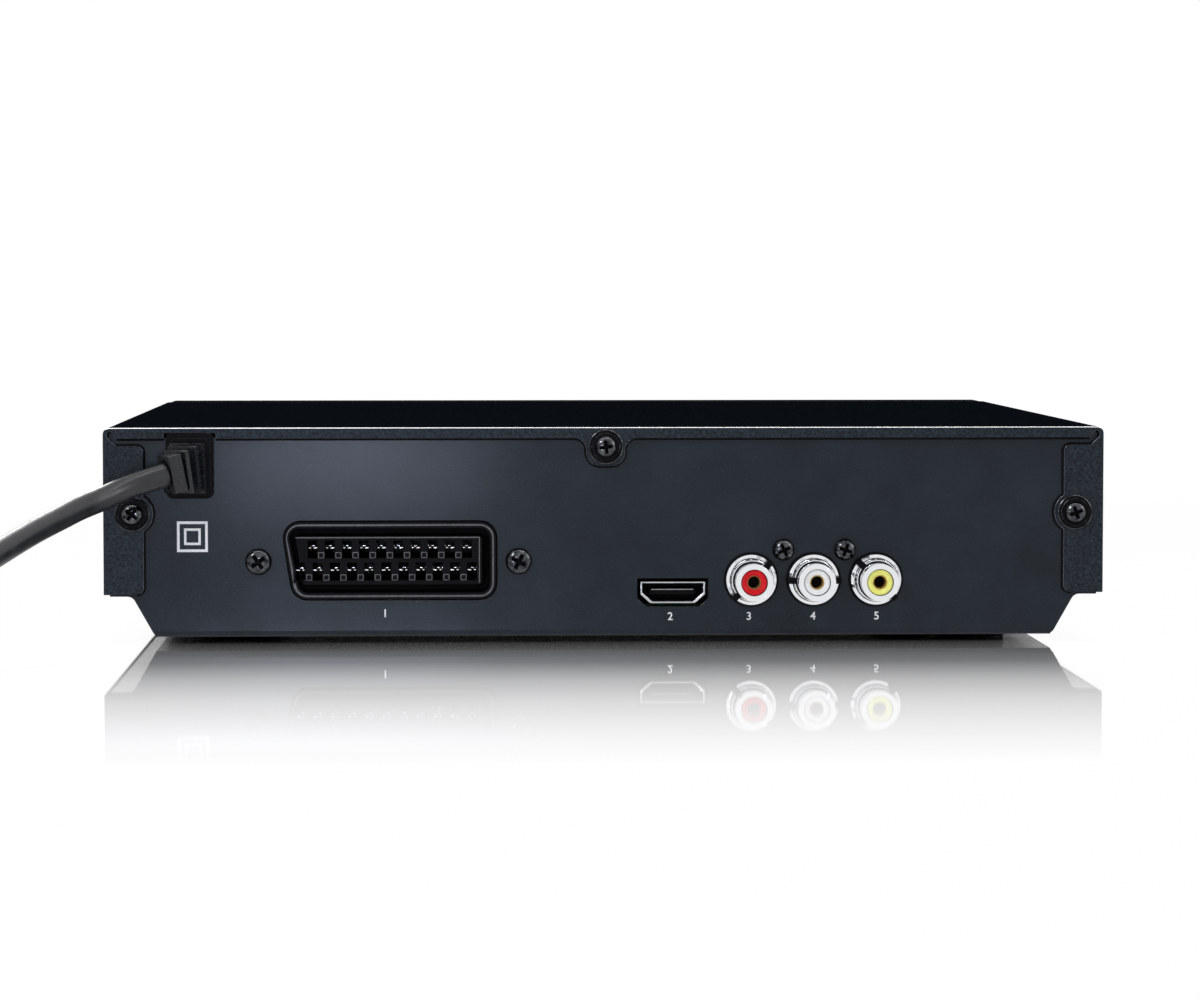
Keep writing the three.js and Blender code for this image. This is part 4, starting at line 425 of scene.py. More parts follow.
# Wide video socket: a slanted ring of black plastic round a block of contact cells. Small walls
# stand between the cells, and each cell holds a plated spring that shows as two short bows.
socket_black_and_shade, tree, shader = painted(
    "socket_black_and_shade", (0.003, 0.003, 0.004), 0.5, Specular_IOR_Level=0.05,
)
add_grain(
    tree, shader, 0.8 * mm, ((0.002, 0.002, 0.003), (0.005, 0.005, 0.006)),
    roughness=(0.4, 0.6),
)
socket_grey_and_highlight, tree, shader = painted("socket_grey_and_highlight", (0.06, 0.063, 0.066), 0.4)
add_grain(
    tree, shader, 0.8 * mm, ((0.04, 0.042, 0.045), (0.08, 0.083, 0.087)),
    roughness=(0.34, 0.46),
)
ring_front = wall_y + 0.55 * mm
ring_edge = 0.46 * mm
socket = softened("wide_socket", "housing", socket_black_and_shade, rounding=0.2 * mm)
socket.data.materials.append(socket_grey_and_highlight)
for face in socket.data.polygons:
    face.select = face.center.y > ring_front and face.normal.y > 0.98
select_only(socket)
bpy.ops.object.mode_set(mode="EDIT")
bpy.ops.mesh.select_mode(type="FACE")
bpy.ops.mesh.inset(thickness=ring_edge, depth=0)
bpy.ops.object.mode_set(mode="OBJECT")
for face in socket.data.polygons:
    if face.select and face.center.y > ring_front:
        face.material_index = 1
bright_plate, tree, shader = painted("bright_plate", (0.78, 0.79, 0.81), 0.16, Metallic=1)
add_grain(tree, shader, 2.5 * mm, roughness=(0.12, 0.2), bump=0.002 * mm)


def blocks(name, parts):
    """One mesh of blocks, each given by its middle, its size and any turn about Y in degrees."""
    bpy.ops.object.select_all(action="DESELECT")
    for index, (middle, size, *turn) in enumerate(parts):
        bpy.ops.mesh.primitive_cube_add(
            size=1,
            location=[value * mm for value in middle],
            rotation=(0, math.radians(sum(turn)), 0),
            scale=[value * mm for value in size],
        )
        if index == 0:
            piece = bpy.context.object
            piece.name = name
            bpy.ops.object.transform_apply()
            bpy.ops.object.mode_set(mode="EDIT")
    bpy.ops.object.mode_set(mode="OBJECT")
    return piece


wall = wall_y / mm
wide_x, wide_z = 48.75, 18.7
block_front = wall + 0.1
contact_pitch = 3.85
contact_rows = ((10, -0.25, 2.5, 1), (11, 0.55, -2.5, -1))
bow_apart = 0.68
bow_lean = 5
bow_y, bow_up = wall - 4.6, 0.3
root_y = wall - 8.2
cell_walls = []
contact_bows = []
for count, shift, row_up, lean in contact_rows:
    row_x, row_z = wide_x + shift, wide_z + row_up
    for index in range(count):
        x = row_x + (index - (count - 1) / 2) * contact_pitch
        near_bow = (x + bow_apart * lean, bow_y, row_z + bow_up)
        far_bow = (x - bow_apart * lean, bow_y, row_z + bow_up)
        contact_bows.append((near_bow, (0.6, 7.4, 0.22)))
        contact_bows.append((far_bow, (1, 7.6, 0.28), bow_lean * lean))
        if index:
            cell_wall_middle = (x - contact_pitch / 2, block_front - 0.4, row_z - 1.3)
            cell_walls.append((cell_wall_middle, (1.5, 1.1, 1.5)))
    contact_bows.append(((row_x, root_y, row_z + bow_up), (contact_pitch * count - 1, 0.6, 0.3)))
cell_wall = blocks("wide_socket_cell_walls", cell_walls)
finish_piece(cell_wall, "housing", socket_black_and_shade, rounding=0.24 * mm)
cell_wall.data.materials.append(socket_grey_and_highlight)
for face in cell_wall.data.polygons:
    if 0.1 < face.normal.y < 0.95:
        face.material_index = 1
block_edge = blocks("wide_socket_block_edge", [
    ((wide_x + 0.2, block_front, wide_z + 5.15), (41.3, 0.12, 0.24)),
    ((wide_x - 20.35, block_front, wide_z), (0.24, 0.12, 10.1)),
])
finish_piece(block_edge, "housing", socket_grey_and_highlight)
springs = blocks("wide_socket_springs", contact_bows)
finish_piece(
    springs, "housing", bright_plate,
    rounding=0.1 * mm, nodes=("wide_socket_contacts",),
)

# Digital socket: a plated shell with slanted lower corners, a black tongue whose edge shows its
# row of contacts, and a black shroud behind the wall round the shell. The wall's opening shows
# bare steel only on its faces that face up or towards +X: partly the cut edge of the sheet,
# partly a painted highlight on those sides.
digital_x, digital_z = -15.2, 11.25
opening_half = 9.5
opening_low, opening_high = 6, 13
sheet = 1.2
shell_plate, tree, shader = painted("shell_plate", (0.5, 0.51, 0.53), 0.2, Metallic=1)
add_grain(tree, shader, 2.5 * mm, ((0.42, 0.43, 0.45), (0.56, 0.57, 0.59)), roughness=(0.16, 0.26))
softened("digital_socket", "housing", shell_plate, rounding=0.2 * mm)
# Partly painted highlight: bare steel on the opening's faces that face up or towards +X.
chassis.data.materials.append(shell_plate)
for face in chassis.data.polygons:
    spot = face.center / mm
    in_opening = (
        abs(spot.x - digital_x) < opening_half and opening_low < spot.z < opening_high
        and spot.y > wall - sheet
    )
    lower_or_right = face.normal.y < 0.95 and (face.normal.z > 0.2 or face.normal.x > 0.2)
    if in_opening and lower_or_right:
        face.material_index = 1
softened("digital_socket_tongue", "housing", socket_black_and_shade, rounding=0.08 * mm)
tongue_contacts = 19
tongue_pitch = 0.5
contact_y, contact_z = wall - 3.1, digital_z + 0.52
first_x = digital_x - (tongue_contacts - 1) / 2 * tongue_pitch
contacts = blocks("digital_socket_contacts", [
    ((first_x + index * tongue_pitch, contact_y, contact_z), (0.3, 1.2, 0.18))
    for index in range(tongue_contacts)
])
finish_piece(contacts, "housing", shell_plate)
shroud_y = wall - 2.4
shroud = blocks("digital_socket_shroud", [
    ((digital_x, shroud_y, digital_z + 4.2), (19, 1.6, 2.4)),
    ((digital_x, shroud_y, digital_z - 4.2), (19, 1.6, 2.4)),
    ((digital_x - 8.8, shroud_y, digital_z), (2.2, 1.6, 8)),
    ((digital_x + 8.8, shroud_y, digital_z), (2.2, 1.6, 8)),
])
finish_piece(shroud, "housing", socket_black_and_shade, rounding=0.1 * mm)

# Phono jacks: three turned and plated barrels on black rings, each with a stepped foot that
# has two slots, a coloured insulator and a gilt sleeve in its bore. They share a moulded block.
# The black ring under each barrel and two more on its steps are painted shade.
softened("phono_block", "housing", moulded_black, rounding=0.25 * mm)
red_plastic, tree, shader = painted(
    "red_plastic", (0.62, 0.003, 0.010), 0.3, Specular_IOR_Level=0.2,
)
add_grain(
    tree, shader, 2 * mm, ((0.56, 0.002, 0.007), (0.66, 0.005, 0.013)),
    roughness=(0.26, 0.36),
)
white_plastic, tree, shader = painted("white_plastic", (0.84, 0.84, 0.83), 0.3)
add_grain(tree, shader, 2 * mm, ((0.8, 0.8, 0.79), (0.86, 0.86, 0.85)), roughness=(0.26, 0.36))
yellow_plastic, tree, shader = painted("yellow_plastic", (0.84, 0.84, 0.2), 0.3)
add_grain(tree, shader, 2 * mm, ((0.8, 0.8, 0.17), (0.86, 0.86, 0.24)), roughness=(0.26, 0.36))
gilt, tree, shader = painted("gilt", (0.85, 0.62, 0.27), 0.35, Metallic=0.6)
add_grain(tree, shader, 1 * mm, ((0.78, 0.55, 0.22), (0.88, 0.66, 0.3)), roughness=(0.3, 0.42))


def turned(name, steps, place, sides=64):
    """A piece turned about a line along Y: a disc pushed out ring by ring, as radius and depth."""
    bpy.ops.object.select_all(action="DESELECT")
    radius, depth = steps[0]
    bpy.ops.mesh.primitive_circle_add(
        vertices=sides, radius=radius * mm, fill_type="NGON", rotation=(math.radians(-90), 0, 0),
    )
    piece = bpy.context.object
    piece.name = name
    bpy.ops.object.transform_apply()
    bpy.ops.object.mode_set(mode="EDIT")
    bpy.ops.mesh.select_all(action="SELECT")
    bpy.ops.transform.translate(value=(0, depth * mm, 0))
    for next_radius, next_depth in steps[1:]:
        push = (0, (next_depth - depth) * mm, 0)
        bpy.ops.mesh.extrude_region_move(TRANSFORM_OT_translate={"value": push})
        growth = next_radius / radius
        bpy.ops.transform.resize(value=(growth, 1, growth), center_override=(0, 0, 0))
        radius, depth = next_radius, next_depth
    bpy.ops.mesh.select_all(action="SELECT")
    bpy.ops.mesh.normals_make_consistent(inside=False)
    bpy.ops.transform.translate(value=[value * mm for value in place])
    bpy.ops.object.mode_set(mode="OBJECT")
    return piece


def cut_away(piece, cutters):
    """Cuts these pieces out of another and deletes them."""
    for cutter in cutters:
        select_only(piece)
        hole = piece.modifiers.new("hole", "BOOLEAN")
        hole.operation = "DIFFERENCE"
        hole.solver = "EXACT"
        hole.object = cutter
        bpy.ops.object.modifier_apply(modifier=hole.name)
        bpy.data.objects.remove(cutter)


jack_z = 14.15
jacks = (
    ("red", -32.85, red_plastic, 135),
    ("white", -46.95, white_plastic, 0),
    ("yellow", -61.05, yellow_plastic, 45),
)
# Black rings round each barrel's foot and on two of its steps: painted shade.
shadow_ring_bore = 4
shadow_ring_steps = ((6.2, 0), (4.95, 1.75), (4.45, 4.55))
barrel_steps = [
    (3.9, -3), (3.9, 0.1), (5.65, 0.1), (5.65, 1.3), (4.95, 1.3), (4.95, 1.9), (4.65, 2.1),
    (4.65, 4.7), (4.15, 4.7), (4.15, 6.4), (4.05, 6.5), (4.05, 6.9), (4.15, 7), (4.15, 10),
    (3.0, 10), (3.0, -2.4),
]
insulator_steps = [
    (2.85, -2), (2.85, 9.55), (2.35, 9.7), (2.2, 9.5), (1.85, 9.5), (1.62, 9.3), (1.62, 1.5),
]
floor_steps = [(1.45, 1.7), (1.45, 3.2)]
sleeve_steps = [(1.6, 1.6), (1.6, 9), (1.42, 9.2), (1.42, 2)]
slot_out = 5.1
slot_depth = 3.05
for colour, x, plastic, slot_turn in jacks:
    place = (x, wall, jack_z)
    for number, (outer, level) in enumerate(shadow_ring_steps, start=1):
        shadow_ring = turned("phono_washer_{}_{}".format(colour, number), [
            (outer, level + 0.02), (outer, level + 0.3),
            (shadow_ring_bore, level + 0.3), (shadow_ring_bore, level + 0.1),
        ], place)
        finish_piece(shadow_ring, "housing", socket_black_and_shade)
    barrel = turned("phono_barrel_" + colour + "_turned", barrel_steps, place)
    slots = []
    for side in (0, 180):
        angle = math.radians(slot_turn + side)
        out = Vector((math.cos(angle), 0, math.sin(angle)))
        middle = tuple(Vector(place) + out * slot_out + Vector((0, slot_depth, 0)))
        slots.append(blocks("slot", [(middle, (2, 3.3, 1.5), -slot_turn)]))
        tab_name = "phono_tab_{}_{}".format(colour, side)
        tab = blocks(tab_name, [(middle, (1.7, 3.1, 1.4), -slot_turn)])
        finish_piece(tab, "housing", socket_black_and_shade, rounding=0.1 * mm)
    cut_away(barrel, slots)
    finish_piece(
        barrel, "housing", bright_plate,
        rounding=0.14 * mm, nodes=("phono_barrel_" + colour,),
    )
    insulator = turned("phono_insulator_" + colour + "_turned", insulator_steps, place)
    finish_piece(
        insulator, "housing", plastic,
        rounding=0.1 * mm, nodes=("phono_insulator_" + colour,),
    )
    floor = turned("phono_floor_" + colour, floor_steps, place, sides=40)
    finish_piece(floor, "housing", socket_black_and_shade)
    sleeve = turned("phono_sleeve_" + colour, sleeve_steps, place, sides=40)
    finish_piece(sleeve, "housing", gilt)

# Printed marks on the rear wall: plain numbers under the sockets and a double square beside
# them, in pale grey ink, each a hair thick.
ink, tree, shader = painted("pale_ink", (0.8, 0.81, 0.83), 0.5)
add_grain(tree, shader, 0.3 * mm, ((0.72, 0.73, 0.75), (0.86, 0.87, 0.88)), roughness=(0.45, 0.6))
number_height = 2.5 * mm
number_weight = 0.03 * mm
number_thickness = 0.015 * mm
numbers = (
    ("1", 49.6, 6.7), ("2", -14.6, 5.8), ("3", -32.4, 5.8), ("4", -46.9, 5.8), ("5", -61.3, 5.8),
)
for number, x, z in numbers:
    bpy.ops.object.select_all(action="DESELECT")
    bpy.ops.object.text_add(
        location=(x * mm, wall_y + 0.005 * mm, z * mm),
        rotation=(math.radians(90), 0, math.radians(180)),
    )
    mark = bpy.context.object
    mark.name = "mark_" + number
    mark.data.body = number
    mark.data.align_x = "CENTER"
    mark.data.align_y = "CENTER"
    mark.data.size = number_height
    mark.data.offset = number_weight
    mark.data.extrude = number_thickness
    bpy.ops.object.convert(target="MESH")
    bpy.ops.object.transform_apply()
    finish_piece(bpy.context.object, "housing", ink)
square_x, square_z = 92.7, 24.15
square_y = wall + 0.02
square_lines = []
for side, line in ((6.9, 0.6), (3.75, 0.55)):
    reach = side / 2 - line / 2
    for step in (-reach, reach):
        square_lines.append(((square_x, square_y, square_z + step), (side, 0.03, line)))
        square_lines.append(((square_x + step, square_y, square_z), (line, 0.03, side - 2 * line)))
finish_piece(blocks("mark_double_square", square_lines), "housing", ink)

# Strain relief: black vinyl moulded round the lead, snapped into the rear wall by its plate. Its
# ribs follow the bend to the left and end at a mouth with a dark ring round the lead. The plate's
# front is near-black as painted shade, and its bevels along the top and +X side are grey as a
# painted highlight.
vinyl, tree, shader = painted("black_vinyl", (0.012, 0.013, 0.015), 0.3, Specular_IOR_Level=0.42)
add_grain(
    tree, shader, 3 * mm, ((0.010, 0.011, 0.013), (0.017, 0.018, 0.020)),
    roughness=(0.26, 0.38), bump=0.02 * mm,
)
relief_vinyl, tree, shader = painted(
    "relief_vinyl", (0.010, 0.011, 0.013), 0.26, Specular_IOR_Level=0.38,
)
add_grain(
    tree, shader, 0.6 * mm, ((0.006, 0.007, 0.008), (0.016, 0.017, 0.020)),
    roughness=(0.22, 0.32), bump=0.02 * mm,
)
relief_x, relief_z = 93.1, 39.9
relief_width, relief_height = 9.2, 12.7
plate_width, plate_height = 10.8, 14.8
relief_seat = Vector((relief_x, wall, relief_z))
relief_bend = Vector((relief_x, wall + 6.3, 39.55))
relief_mouth = Vector((98, wall + 8.6, 38.4))
mouth_radius = 3.3
mouth_depth = 2.4
plate_corner, plate_corner_steps = 1.7 * mm, 5
relief_slabs = (
    # share of the way along the bend, thickness, width, height
    (0.14, 2.6, 6.6, 9.6),
    (0.3, 1.1, 8, 11.2),
    (0.4, 1.8, 5.6, 8.4),
    (0.5, 1.1, 7.4, 10.6),
    (0.6, 1.7, 5.4, 7.9),
    (0.7, 1.1, 6.9, 9.6),
    (0.8, 1.7, 5.2, 7.4),
    (0.9, 1.4, 5.2, 7.4),
    (0.98, 3, 6.6, 8.4),
)


def round_corners(piece, radius, steps):
    """Rounds the edges that run along Y."""
    corners = piece.data.vertices
    bpy.ops.object.mode_set(mode="EDIT")
    bpy.ops.mesh.select_all(action="DESELECT")
    bpy.ops.object.mode_set(mode="OBJECT")
    for edge in piece.data.edges:
        ends = [corners[index].co for index in edge.vertices]
        edge.select = abs((ends[1] - ends[0]).normalized().y) > 0.99
    bpy.ops.object.mode_set(mode="EDIT")
    bpy.ops.mesh.select_mode(type="EDGE")
    bpy.ops.mesh.bevel(offset=radius, segments=steps, affect="EDGES")
    bpy.ops.mesh.select_mode(type="VERT")
    bpy.ops.object.mode_set(mode="OBJECT")


relief = blocks("strain_relief_moulded", [
    ((relief_x, wall - 4.6, relief_z), (relief_width, 9.6, relief_height)),
    ((relief_x, wall + 0.75, relief_z + 0.25), (plate_width, 1.3, plate_height)),
    ((relief_x, wall + 1.5, relief_z), (relief_width, 0.5, relief_height)),
])
round_corners(relief, plate_corner, plate_corner_steps)
bpy.ops.object.mode_set(mode="EDIT")
for along, thickness, width, height in relief_slabs:
    left = 1 - along
    spot = relief_seat * left * left + relief_bend * 2 * left * along + relief_mouth * along * along
    ahead = ((relief_bend - relief_seat) * left + (relief_mouth - relief_bend) * along).normalized()
    spot = spot - ahead * thickness / 2
    bpy.ops.mesh.primitive_cube_add(
        size=1,
        location=spot * mm,
        rotation=ahead.to_track_quat("Y", "Z").to_euler(),
        scale=(width * mm, thickness * mm, height * mm),
    )
bpy.ops.object.mode_set(mode="OBJECT")
bpy.ops.mesh.primitive_cylinder_add(
    vertices=40, radius=mouth_radius * mm, depth=mouth_depth * mm,
    location=relief_mouth * mm, rotation=ahead.to_track_quat("Z", "Y").to_euler(),
)
mouth_hole = bpy.context.object
bpy.ops.object.transform_apply()
cut_away(relief, [mouth_hole])
strain_relief = finish_piece(
    relief, "housing", relief_vinyl,
    rounding=0.35 * mm, segments=3, nodes=("strain_relief",),
)
# Painted shade on the plate's front and a painted highlight on its top and +X bevels.
strain_relief.data.materials.append(socket_black_and_shade)
strain_relief.data.materials.append(socket_grey_and_highlight)
plate_front = wall_y + 2 * mm
for face in strain_relief.data.polygons:
    on_plate = wall_y < face.center.y < plate_front
    if on_plate and face.normal.y > 0.97:
        face.material_index = 1
    elif on_plate and 0.3 < face.normal.y and (face.normal.z > 0.2 or face.normal.x > 0.2):
        face.material_index = 2

# Mains plug and coil tie: a flat plug with two round pins, moulded on in black vinyl, and a
# strip of white paper-covered wire round the coil.
mains_plug = softened("mains_plug", "housing", vinyl, rounding=0.5 * mm)
coil_tie = softened("coil_tie", "housing", white_plastic, rounding=0.1 * mm)

# Mains lead: a round two-core lead in black vinyl, 1.5 m long. It leaves the strain relief,
# droops to the table and is wound into two layers of loops, in one unbroken run to its plug.
lead_diameter = 5.4 * mm
lead_route = (
    (98, 8.6, 38.4),
    (105.6, 12, 36),
    (111.1, 16.5, 33.7),
    (115.7, 22, 31.9),
    (119.4, 28, 30.1),
    (123.6, 36.5, 28),
    (128.2, 47, 25.3),
    (133.3, 58, 21.9),
    (139.2, 68.6, 17.3),
    (146.6, 77, 12.4),
    (155, 82.8, 8),
    (163.8, 85.2, 5),
    (171.2, 84.9, 3.7),
)
coil_middle = 30.2 * mm
coil_pitch = 5.9 * mm
coil_turns = 7.25
coil_climb_turns = 0.5
coil_run_out = 8 * mm
coil_run_out_turns = 0.25
coil_lift = 0.5 * mm
coil_centre = Vector((187 * mm, wall_y + 43 * mm, coil_lift + lead_diameter / 2))
coil_least = coil_middle - coil_pitch * coil_turns / 4
coil_steps_per_turn = 24
plug_thickness = 13.6 * mm
touch = 0.1 * mm


def smooth_step(value, start, end):
    """0 up to the start and 1 from the end on, with a soft rise between them."""
    share = min(max((value - start) / (end - start), 0), 1)
    return share * share * (3 - 2 * share)


def coil_point(turn):
    """The lead's place after so many turns: inwards below, up at the middle, and outwards above."""
    from_middle = turn - coil_turns / 2
    climb = min(max(from_middle / coil_climb_turns + 1 / 2, 0), 1)
    away = smooth_step(turn, coil_turns - coil_run_out_turns, coil_turns)
    radius = coil_least + coil_pitch * abs(from_middle) + coil_run_out * away
    drop = (coil_pitch + coil_centre.z - plug_thickness / 2 - touch) * away
    angle = math.pi / 2 - 2 * math.pi * turn
    rise = Vector((0, 0, coil_pitch * climb - drop))
    return coil_centre + Vector((math.cos(angle), math.sin(angle), 0)) * radius + rise


coil_count = round(coil_turns * coil_steps_per_turn)
coil_loops = [coil_point(index * coil_turns / coil_count) for index in range(coil_count + 1)]
coil_entry = coil_loops[0] - Vector((2 * lead_diameter, 0, 0))
coil_exit = coil_loops[-1] - Vector((0, lead_diameter, 0))
lead_path = [Vector((x * mm, wall_y + y * mm, z * mm)) for x, y, z in lead_route]
lead_start = lead_path[0].copy()
lead_path += [coil_entry, *coil_loops, coil_exit]
lead_curve = bpy.data.curves.new("mains_lead_curve", "CURVE")
lead_curve.dimensions = "3D"
lead_curve.bevel_depth = lead_diameter / 2
lead_curve.bevel_resolution = 6
lead_curve.resolution_u = 6
lead_curve.use_fill_caps = True
lead_spline = lead_curve.splines.new("BEZIER")
lead_spline.bezier_points.add(len(lead_path) - 1)
for knot, point in zip(lead_spline.bezier_points, lead_path):
    knot.co = point
    knot.handle_left_type = "AUTO"
    knot.handle_right_type = "AUTO"
lead = bpy.data.objects.new("mains_lead_whole", lead_curve)
bpy.context.scene.collection.objects.link(lead)
lead.data.materials.append(vinyl)
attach(lead, "housing")
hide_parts("mains_lead", "lead_coil")

# Top cover: one bent sheet with a rear lip, a tab and two side flanges, in matt black crinkle
# paint, held by three screws with captive washers. The paint comes in two copies: a darker one
# for the top and the rest, as painted shade, and a lighter, glossier one for the lip and flanges
# that face the rear, as their painted lit side. A near-white metal line along the rear bend and
# grey metal on the flanges' side bevels are painted highlights.
# Darker copy of the crinkle paint: painted shade, on the top and the rest of the cover.
shaded_cover_paint, tree, shader = painted("shaded_cover_paint", (0.008, 0.010, 0.013), 0.6)
add_grain(
    tree, shader, 0.8 * mm, ((0.0005, 0.001, 0.0015), (0.006, 0.008, 0.011)),
    roughness=(0.4, 0.7), bump=0.08 * mm, softness=0.7,
)
dull_at_edge(tree, shader, near=0.5, far=0.7, straight=0.08)
# Painted highlight: near-white metal for the faces along the rear bend.
bend_highlight_paint, tree, shader = painted("bend_highlight_paint", (0.92, 0.92, 0.93), 0.3, Metallic=0.9)
add_grain(tree, shader, 1.5 * mm, ((0.88, 0.88, 0.89), (0.96, 0.96, 0.97)), roughness=(0.25, 0.4))
# Lighter copy of the same paint: a painted lit side, on the lip and flanges that face the rear.
lit_lip_paint, tree, shader = painted("lit_lip_paint", (0.012, 0.014, 0.018), 0.45)
add_grain(
    tree, shader, 0.7 * mm, ((0, 0.001, 0.003), (0.028, 0.037, 0.049)),
    roughness=(0.35, 0.6), bump=0.12 * mm, softness=0.8,
)
dull_at_edge(tree, shader, near=0.5, far=0.7, straight=0.14)
# Painted highlight: grey metal for the bevels at the sides of the flanges.
edge_highlight_paint, tree, shader = painted("edge_highlight_paint", (0.16, 0.165, 0.19), 0.35, Metallic=0.9)
add_grain(tree, shader, 0.8 * mm, ((0.08, 0.085, 0.1), (0.22, 0.225, 0.26)), roughness=(0.3, 0.45))
cover = softened("top_cover", "housing", shaded_cover_paint, rounding=0.35 * mm, segments=3)
for paint in (bend_highlight_paint, lit_lip_paint, edge_highlight_paint):
    cover.data.materials.append(paint)
cover_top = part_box("top_cover")[1].z
bend_height = 0.4 * mm
# Bend faces get the painted highlight, rear-facing faces the lit copy, and side bevels the grey
# highlight.
for face in cover.data.polygons:
    if face.center.y > wall_y:
        at_bend = face.center.z > cover_top - bend_height
        if at_bend and 0.2 < face.normal.z < 0.98 and face.normal.y > 0.1:
            face.material_index = 1
        elif face.normal.y > 0.9:
            face.material_index = 2
        elif face.normal.y > 0.5 and abs(face.normal.x) > 0.3:
            face.material_index = 3

# Painted shadow: a thin black tube along the edge of the cover's lip and flanges, where the sheet
# stands off the rear wall, put in for the shade of that narrow gap. It follows the outline of
# those faces without the cover's outer edge.
gap_shadow_radius = 0.42 * mm
gap_shadow_out = 0.05 * mm
gap_shadow_below_top = 1.6 * mm
gap_shadow_half_width = 111.2 * mm
gap_shadow_doubles = 0.001 * mm
gap_shadow = bpy.data.objects.new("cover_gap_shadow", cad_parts["top_cover"].data.copy())
bpy.context.scene.collection.objects.link(gap_shadow)
select_only(gap_shadow)
bpy.ops.object.mode_set(mode="EDIT")
bpy.ops.mesh.select_all(action="SELECT")
bpy.ops.mesh.remove_doubles(threshold=gap_shadow_doubles)
bpy.ops.mesh.select_all(action="DESELECT")
bpy.ops.mesh.select_mode(type="FACE")
bpy.ops.object.mode_set(mode="OBJECT")
for face in gap_shadow.data.polygons:
    face.select = not (face.normal.y > 0.99 and face.center.y > wall_y)
bpy.ops.object.mode_set(mode="EDIT")
bpy.ops.mesh.delete(type="FACE")
bpy.ops.mesh.select_all(action="SELECT")
bpy.ops.mesh.dissolve_limited(angle_limit=flat_within)
bpy.ops.mesh.delete(type="ONLY_FACE")
bpy.ops.mesh.select_mode(type="VERT")
bpy.ops.object.mode_set(mode="OBJECT")
for corner in gap_shadow.data.vertices:
    above = corner.co.z > cover_top - gap_shadow_below_top
    corner.select = above or abs(corner.co.x) > gap_shadow_half_width
bpy.ops.object.mode_set(mode="EDIT")
bpy.ops.mesh.delete(type="VERT")
bpy.ops.object.mode_set(mode="OBJECT")
bpy.ops.object.convert(target="CURVE")
gap_shadow = bpy.context.object
gap_shadow.data.bevel_depth = gap_shadow_radius
gap_shadow.data.bevel_resolution = 2
gap_shadow.location.y = wall_y + gap_shadow_out - max(point.co.y for point in gap_shadow.data.splines[0].points)
bpy.ops.object.convert(target="MESH")
bpy.ops.object.transform_apply()
finish_piece(bpy.context.object, "housing", socket_black_and_shade)

# Screws: domed heads in black nickel with a cross recess. Those of the cover have a captive
# washer and those of the sockets a narrow collar. The recess is near-black as painted shade, and
# the collar's face and the head's skirt are near-black as a painted shadow round the head.
black_nickel, tree, shader = painted("black_nickel", (0.055, 0.057, 0.062), 0.1, Metallic=1)
add_grain(
    tree, shader, 1.3 * mm, ((0.015, 0.017, 0.021), (0.1, 0.102, 0.108)),
    roughness=(0.06, 0.14), bump=0.02 * mm,
)
head_height = 2.4
shank_radius, shank_depth = 1.3, 5.9
recess_depth = 1.8
recess_middle = 1.9
recess_foot, recess_mouth, recess_width = 0.5, 1.08, 0.25
screws = (
    # node, radius of the head and of its washer or collar, turn of the recess
    ("cover_screw_top", 2.45, 3.9, 8),
    ("cover_screw_left", 2.45, 3.9, 52),
    ("cover_screw_right", 2.45, 3.9, 20),
    ("wide_socket_screw_1", 2.9, 3, 35),
    ("wide_socket_screw_2", 2.9, 3, 62),
    ("phono_screw_1", 2.4, 2.5, 25),
    ("phono_screw_2", 2.4, 2.5, 70),
)
for node, head, collar, turn in screws:
    low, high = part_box(node)
    middle = (low + high) / 2 / mm
    place = (middle.x, high.y / mm - head_height, middle.z)
    ring = (collar + head) / 2
    groove = []
    if ring > head + 0.5:
        groove = [(collar - 0.2, 0.45), (ring + 0.1, 0.45), (ring, 0.35), (ring - 0.1, 0.5)]
    dome = [
        (head * 0.97, 0.5), (head, 0.8), (head * 0.98, 1.25), (head * 0.9, 1.7),
        (head * 0.76, 2.05), (head * 0.56, 2.28), (head * 0.3, 2.38),
    ]
    screw = turned(node + "_turned", [
        (shank_radius, -shank_depth), (shank_radius, 0), (collar, 0), (collar, 0.3), *groove, *dome,
    ], place, sides=48)
    arms = []
    for arm_turn in (turn, turn + 90):
        bpy.ops.mesh.primitive_cone_add(
            vertices=4, radius1=head * recess_foot * mm, radius2=head * recess_mouth * mm,
            depth=recess_depth * mm,
            rotation=(0, 0, math.radians(45)),
        )
        arm = bpy.context.object
        bpy.ops.object.transform_apply()
        arm.scale = (1, recess_width, 1)
        arm.rotation_euler = (math.radians(-90), math.radians(arm_turn), 0)
        arm.location = [value * mm for value in (place[0], place[1] + recess_middle, place[2])]
        bpy.ops.object.transform_apply()
        arms.append(arm)
    cut_away(screw, arms)
    finish_piece(screw, "housing", black_nickel, rounding=0.14 * mm, nodes=(node,))
    # Painted shade in the recess and a painted shadow on the collar and skirt.
    screw.data.materials.append(socket_black_and_shade)
    for face in screw.data.polygons:
        from_axis = (face.center - Vector(place) * mm) / mm
        off = math.hypot(from_axis.x, from_axis.z)
        in_recess = off < head * 0.8 and 0.5 < from_axis.y < 2.2 - 0.6 * (off / head) ** 2
        on_collar = off > head * 0.95 and (face.normal.y > 0.97 or face.normal.y < 0.4)
        if in_recess or on_collar:
            face.material_index = 1

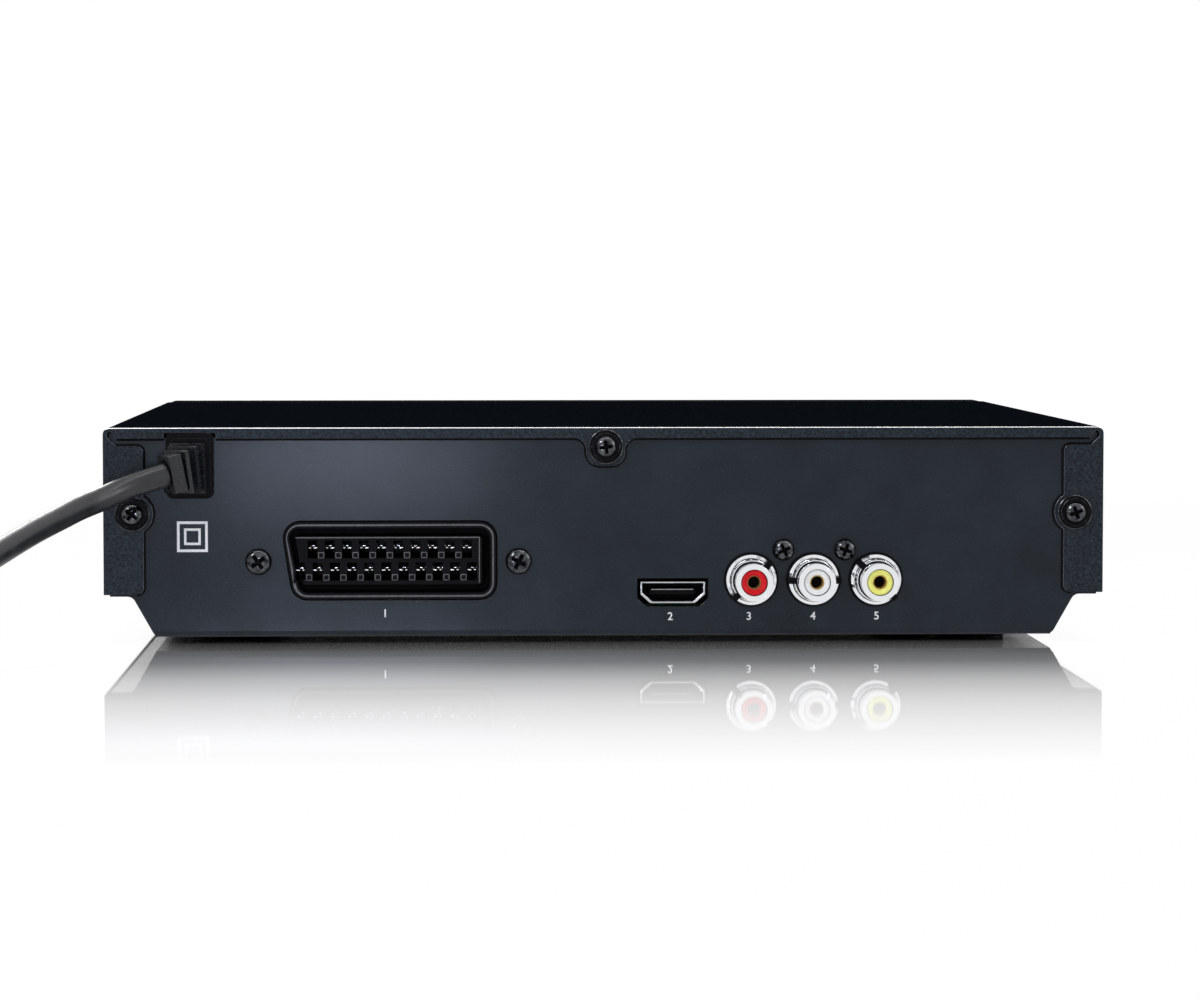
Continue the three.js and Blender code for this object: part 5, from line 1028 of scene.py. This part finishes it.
# Front panel: moulded black plastic with the tray door, the display window, four buttons and
# a small media socket. The window's unlit digits show faintly, and each button has its sign.
gloss_black, tree, shader = painted("gloss_black", (0.010, 0.011, 0.013), 0.2)
add_grain(tree, shader, 12 * mm, roughness=(0.16, 0.24))
dull_at_edge(tree, shader, near=0.25, far=0.55, straight=0.45)
smoked_lens, tree, shader = painted("smoked_lens", (0.002, 0.0025, 0.004), 0.06)
add_grain(tree, shader, 30 * mm, roughness=(0.04, 0.09))
dull_at_edge(tree, shader, near=0.3, far=0.6, straight=0.35)
softened("front_panel", "housing", moulded_black, rounding=0.5 * mm, segments=3)
softened("tray_door", "tray", gloss_black, rounding=0.3 * mm)
softened("display_window", "housing", smoked_lens, rounding=0.15 * mm)
softened("media_socket", "housing", bright_plate, rounding=0.1 * mm, segments=1)
unlit, tree, shader = painted("unlit_digit", (0.02, 0.022, 0.026), 0.3)
add_grain(
    tree, shader, 4 * mm, ((0.017, 0.019, 0.023), (0.023, 0.025, 0.03)),
    roughness=(0.26, 0.36),
)
window_low, window_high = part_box("display_window")
window_front = window_low.y / mm
digit_z = (window_low.z + window_high.z) / 2 / mm
digit_columns = (59.5, 66.5, 76.5, 83.5, 90.5)
colon_x = 71.5
stroke = 0.6
digit_half_width, digit_half_height = 2, 4
digits = []
for digit_x in digit_columns:
    for level in (-digit_half_height, 0, digit_half_height):
        digits.append(((digit_x, window_front, digit_z + level), (3, 0.04, stroke)))
    for side in (-digit_half_width, digit_half_width):
        for level in (-digit_half_height / 2, digit_half_height / 2):
            digits.append(((digit_x + side, window_front, digit_z + level), (stroke, 0.04, 3)))
for level in (-1.6, 1.6):
    digits.append(((colon_x, window_front, digit_z + level), (0.8, 0.04, 0.8)))
finish_piece(blocks("window_digits", digits), "housing", unlit)


def sign_bars(name, middle, bars):
    """Flat bars of a key's sign, each given by its place across and up, its width and height."""
    x, front, z = middle
    return blocks(name, [
        ((x + across, front, z + up), (width, 0.05, height)) for across, up, width, height in bars
    ])


def sign_arrow(name, middle, pointing):
    """A flat three-sided arrow of a key's sign, pointing up, or aside when turned by 90 degrees."""
    bpy.ops.object.select_all(action="DESELECT")
    bpy.ops.mesh.primitive_cylinder_add(
        vertices=3, radius=1.2 * mm, depth=0.05 * mm, location=[value * mm for value in middle],
        rotation=(math.radians(90), math.radians(pointing), 0),
    )
    bpy.context.object.name = name
    bpy.ops.object.transform_apply()
    return bpy.context.object


buttons = (
    ("open_close_button", "open_close_key"), ("play_pause_button", "play_pause_key"),
    ("stop_button", "stop_key"), ("power_button", "power_key"),
)
for node, body in buttons:
    softened(node, body, gloss_black, rounding=0.3 * mm)
    low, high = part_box(node)
    x, front, z = (low.x + high.x) / 2 / mm, low.y / mm, (low.z + high.z) / 2 / mm
    key = (x, front, z)
    if node == "stop_button":
        signs = [sign_bars("stop_sign", key, [(0, 0, 1.9, 1.9)])]
    elif node == "power_button":
        ring = turned("power_sign", [(1.2, 0.03), (1.2, -0.025), (0.95, -0.025), (0.95, 0.02)], key)
        cut_away(ring, [blocks("gap", [((x, front, z + 1.1), (0.9, 1, 0.9))])])
        signs = [sign_bars("power_line", key, [(0, 0.75, 0.26, 1.3)]), ring]
    elif node == "open_close_button":
        arrow = sign_arrow(node + "_arrow", (x, front, z + 0.15), 0)
        signs = [arrow, sign_bars(node + "_bars", key, [(0, -1.15, 2.2, 0.4)])]
    else:
        arrow = sign_arrow(node + "_arrow", (x - 1.05, front, z), 90)
        signs = [arrow, sign_bars(node + "_bars", key, [(0.75, 0, 0.42, 1.9), (1.6, 0, 0.42, 1.9)])]
    for sign in signs:
        finish_piece(sign, body, ink)
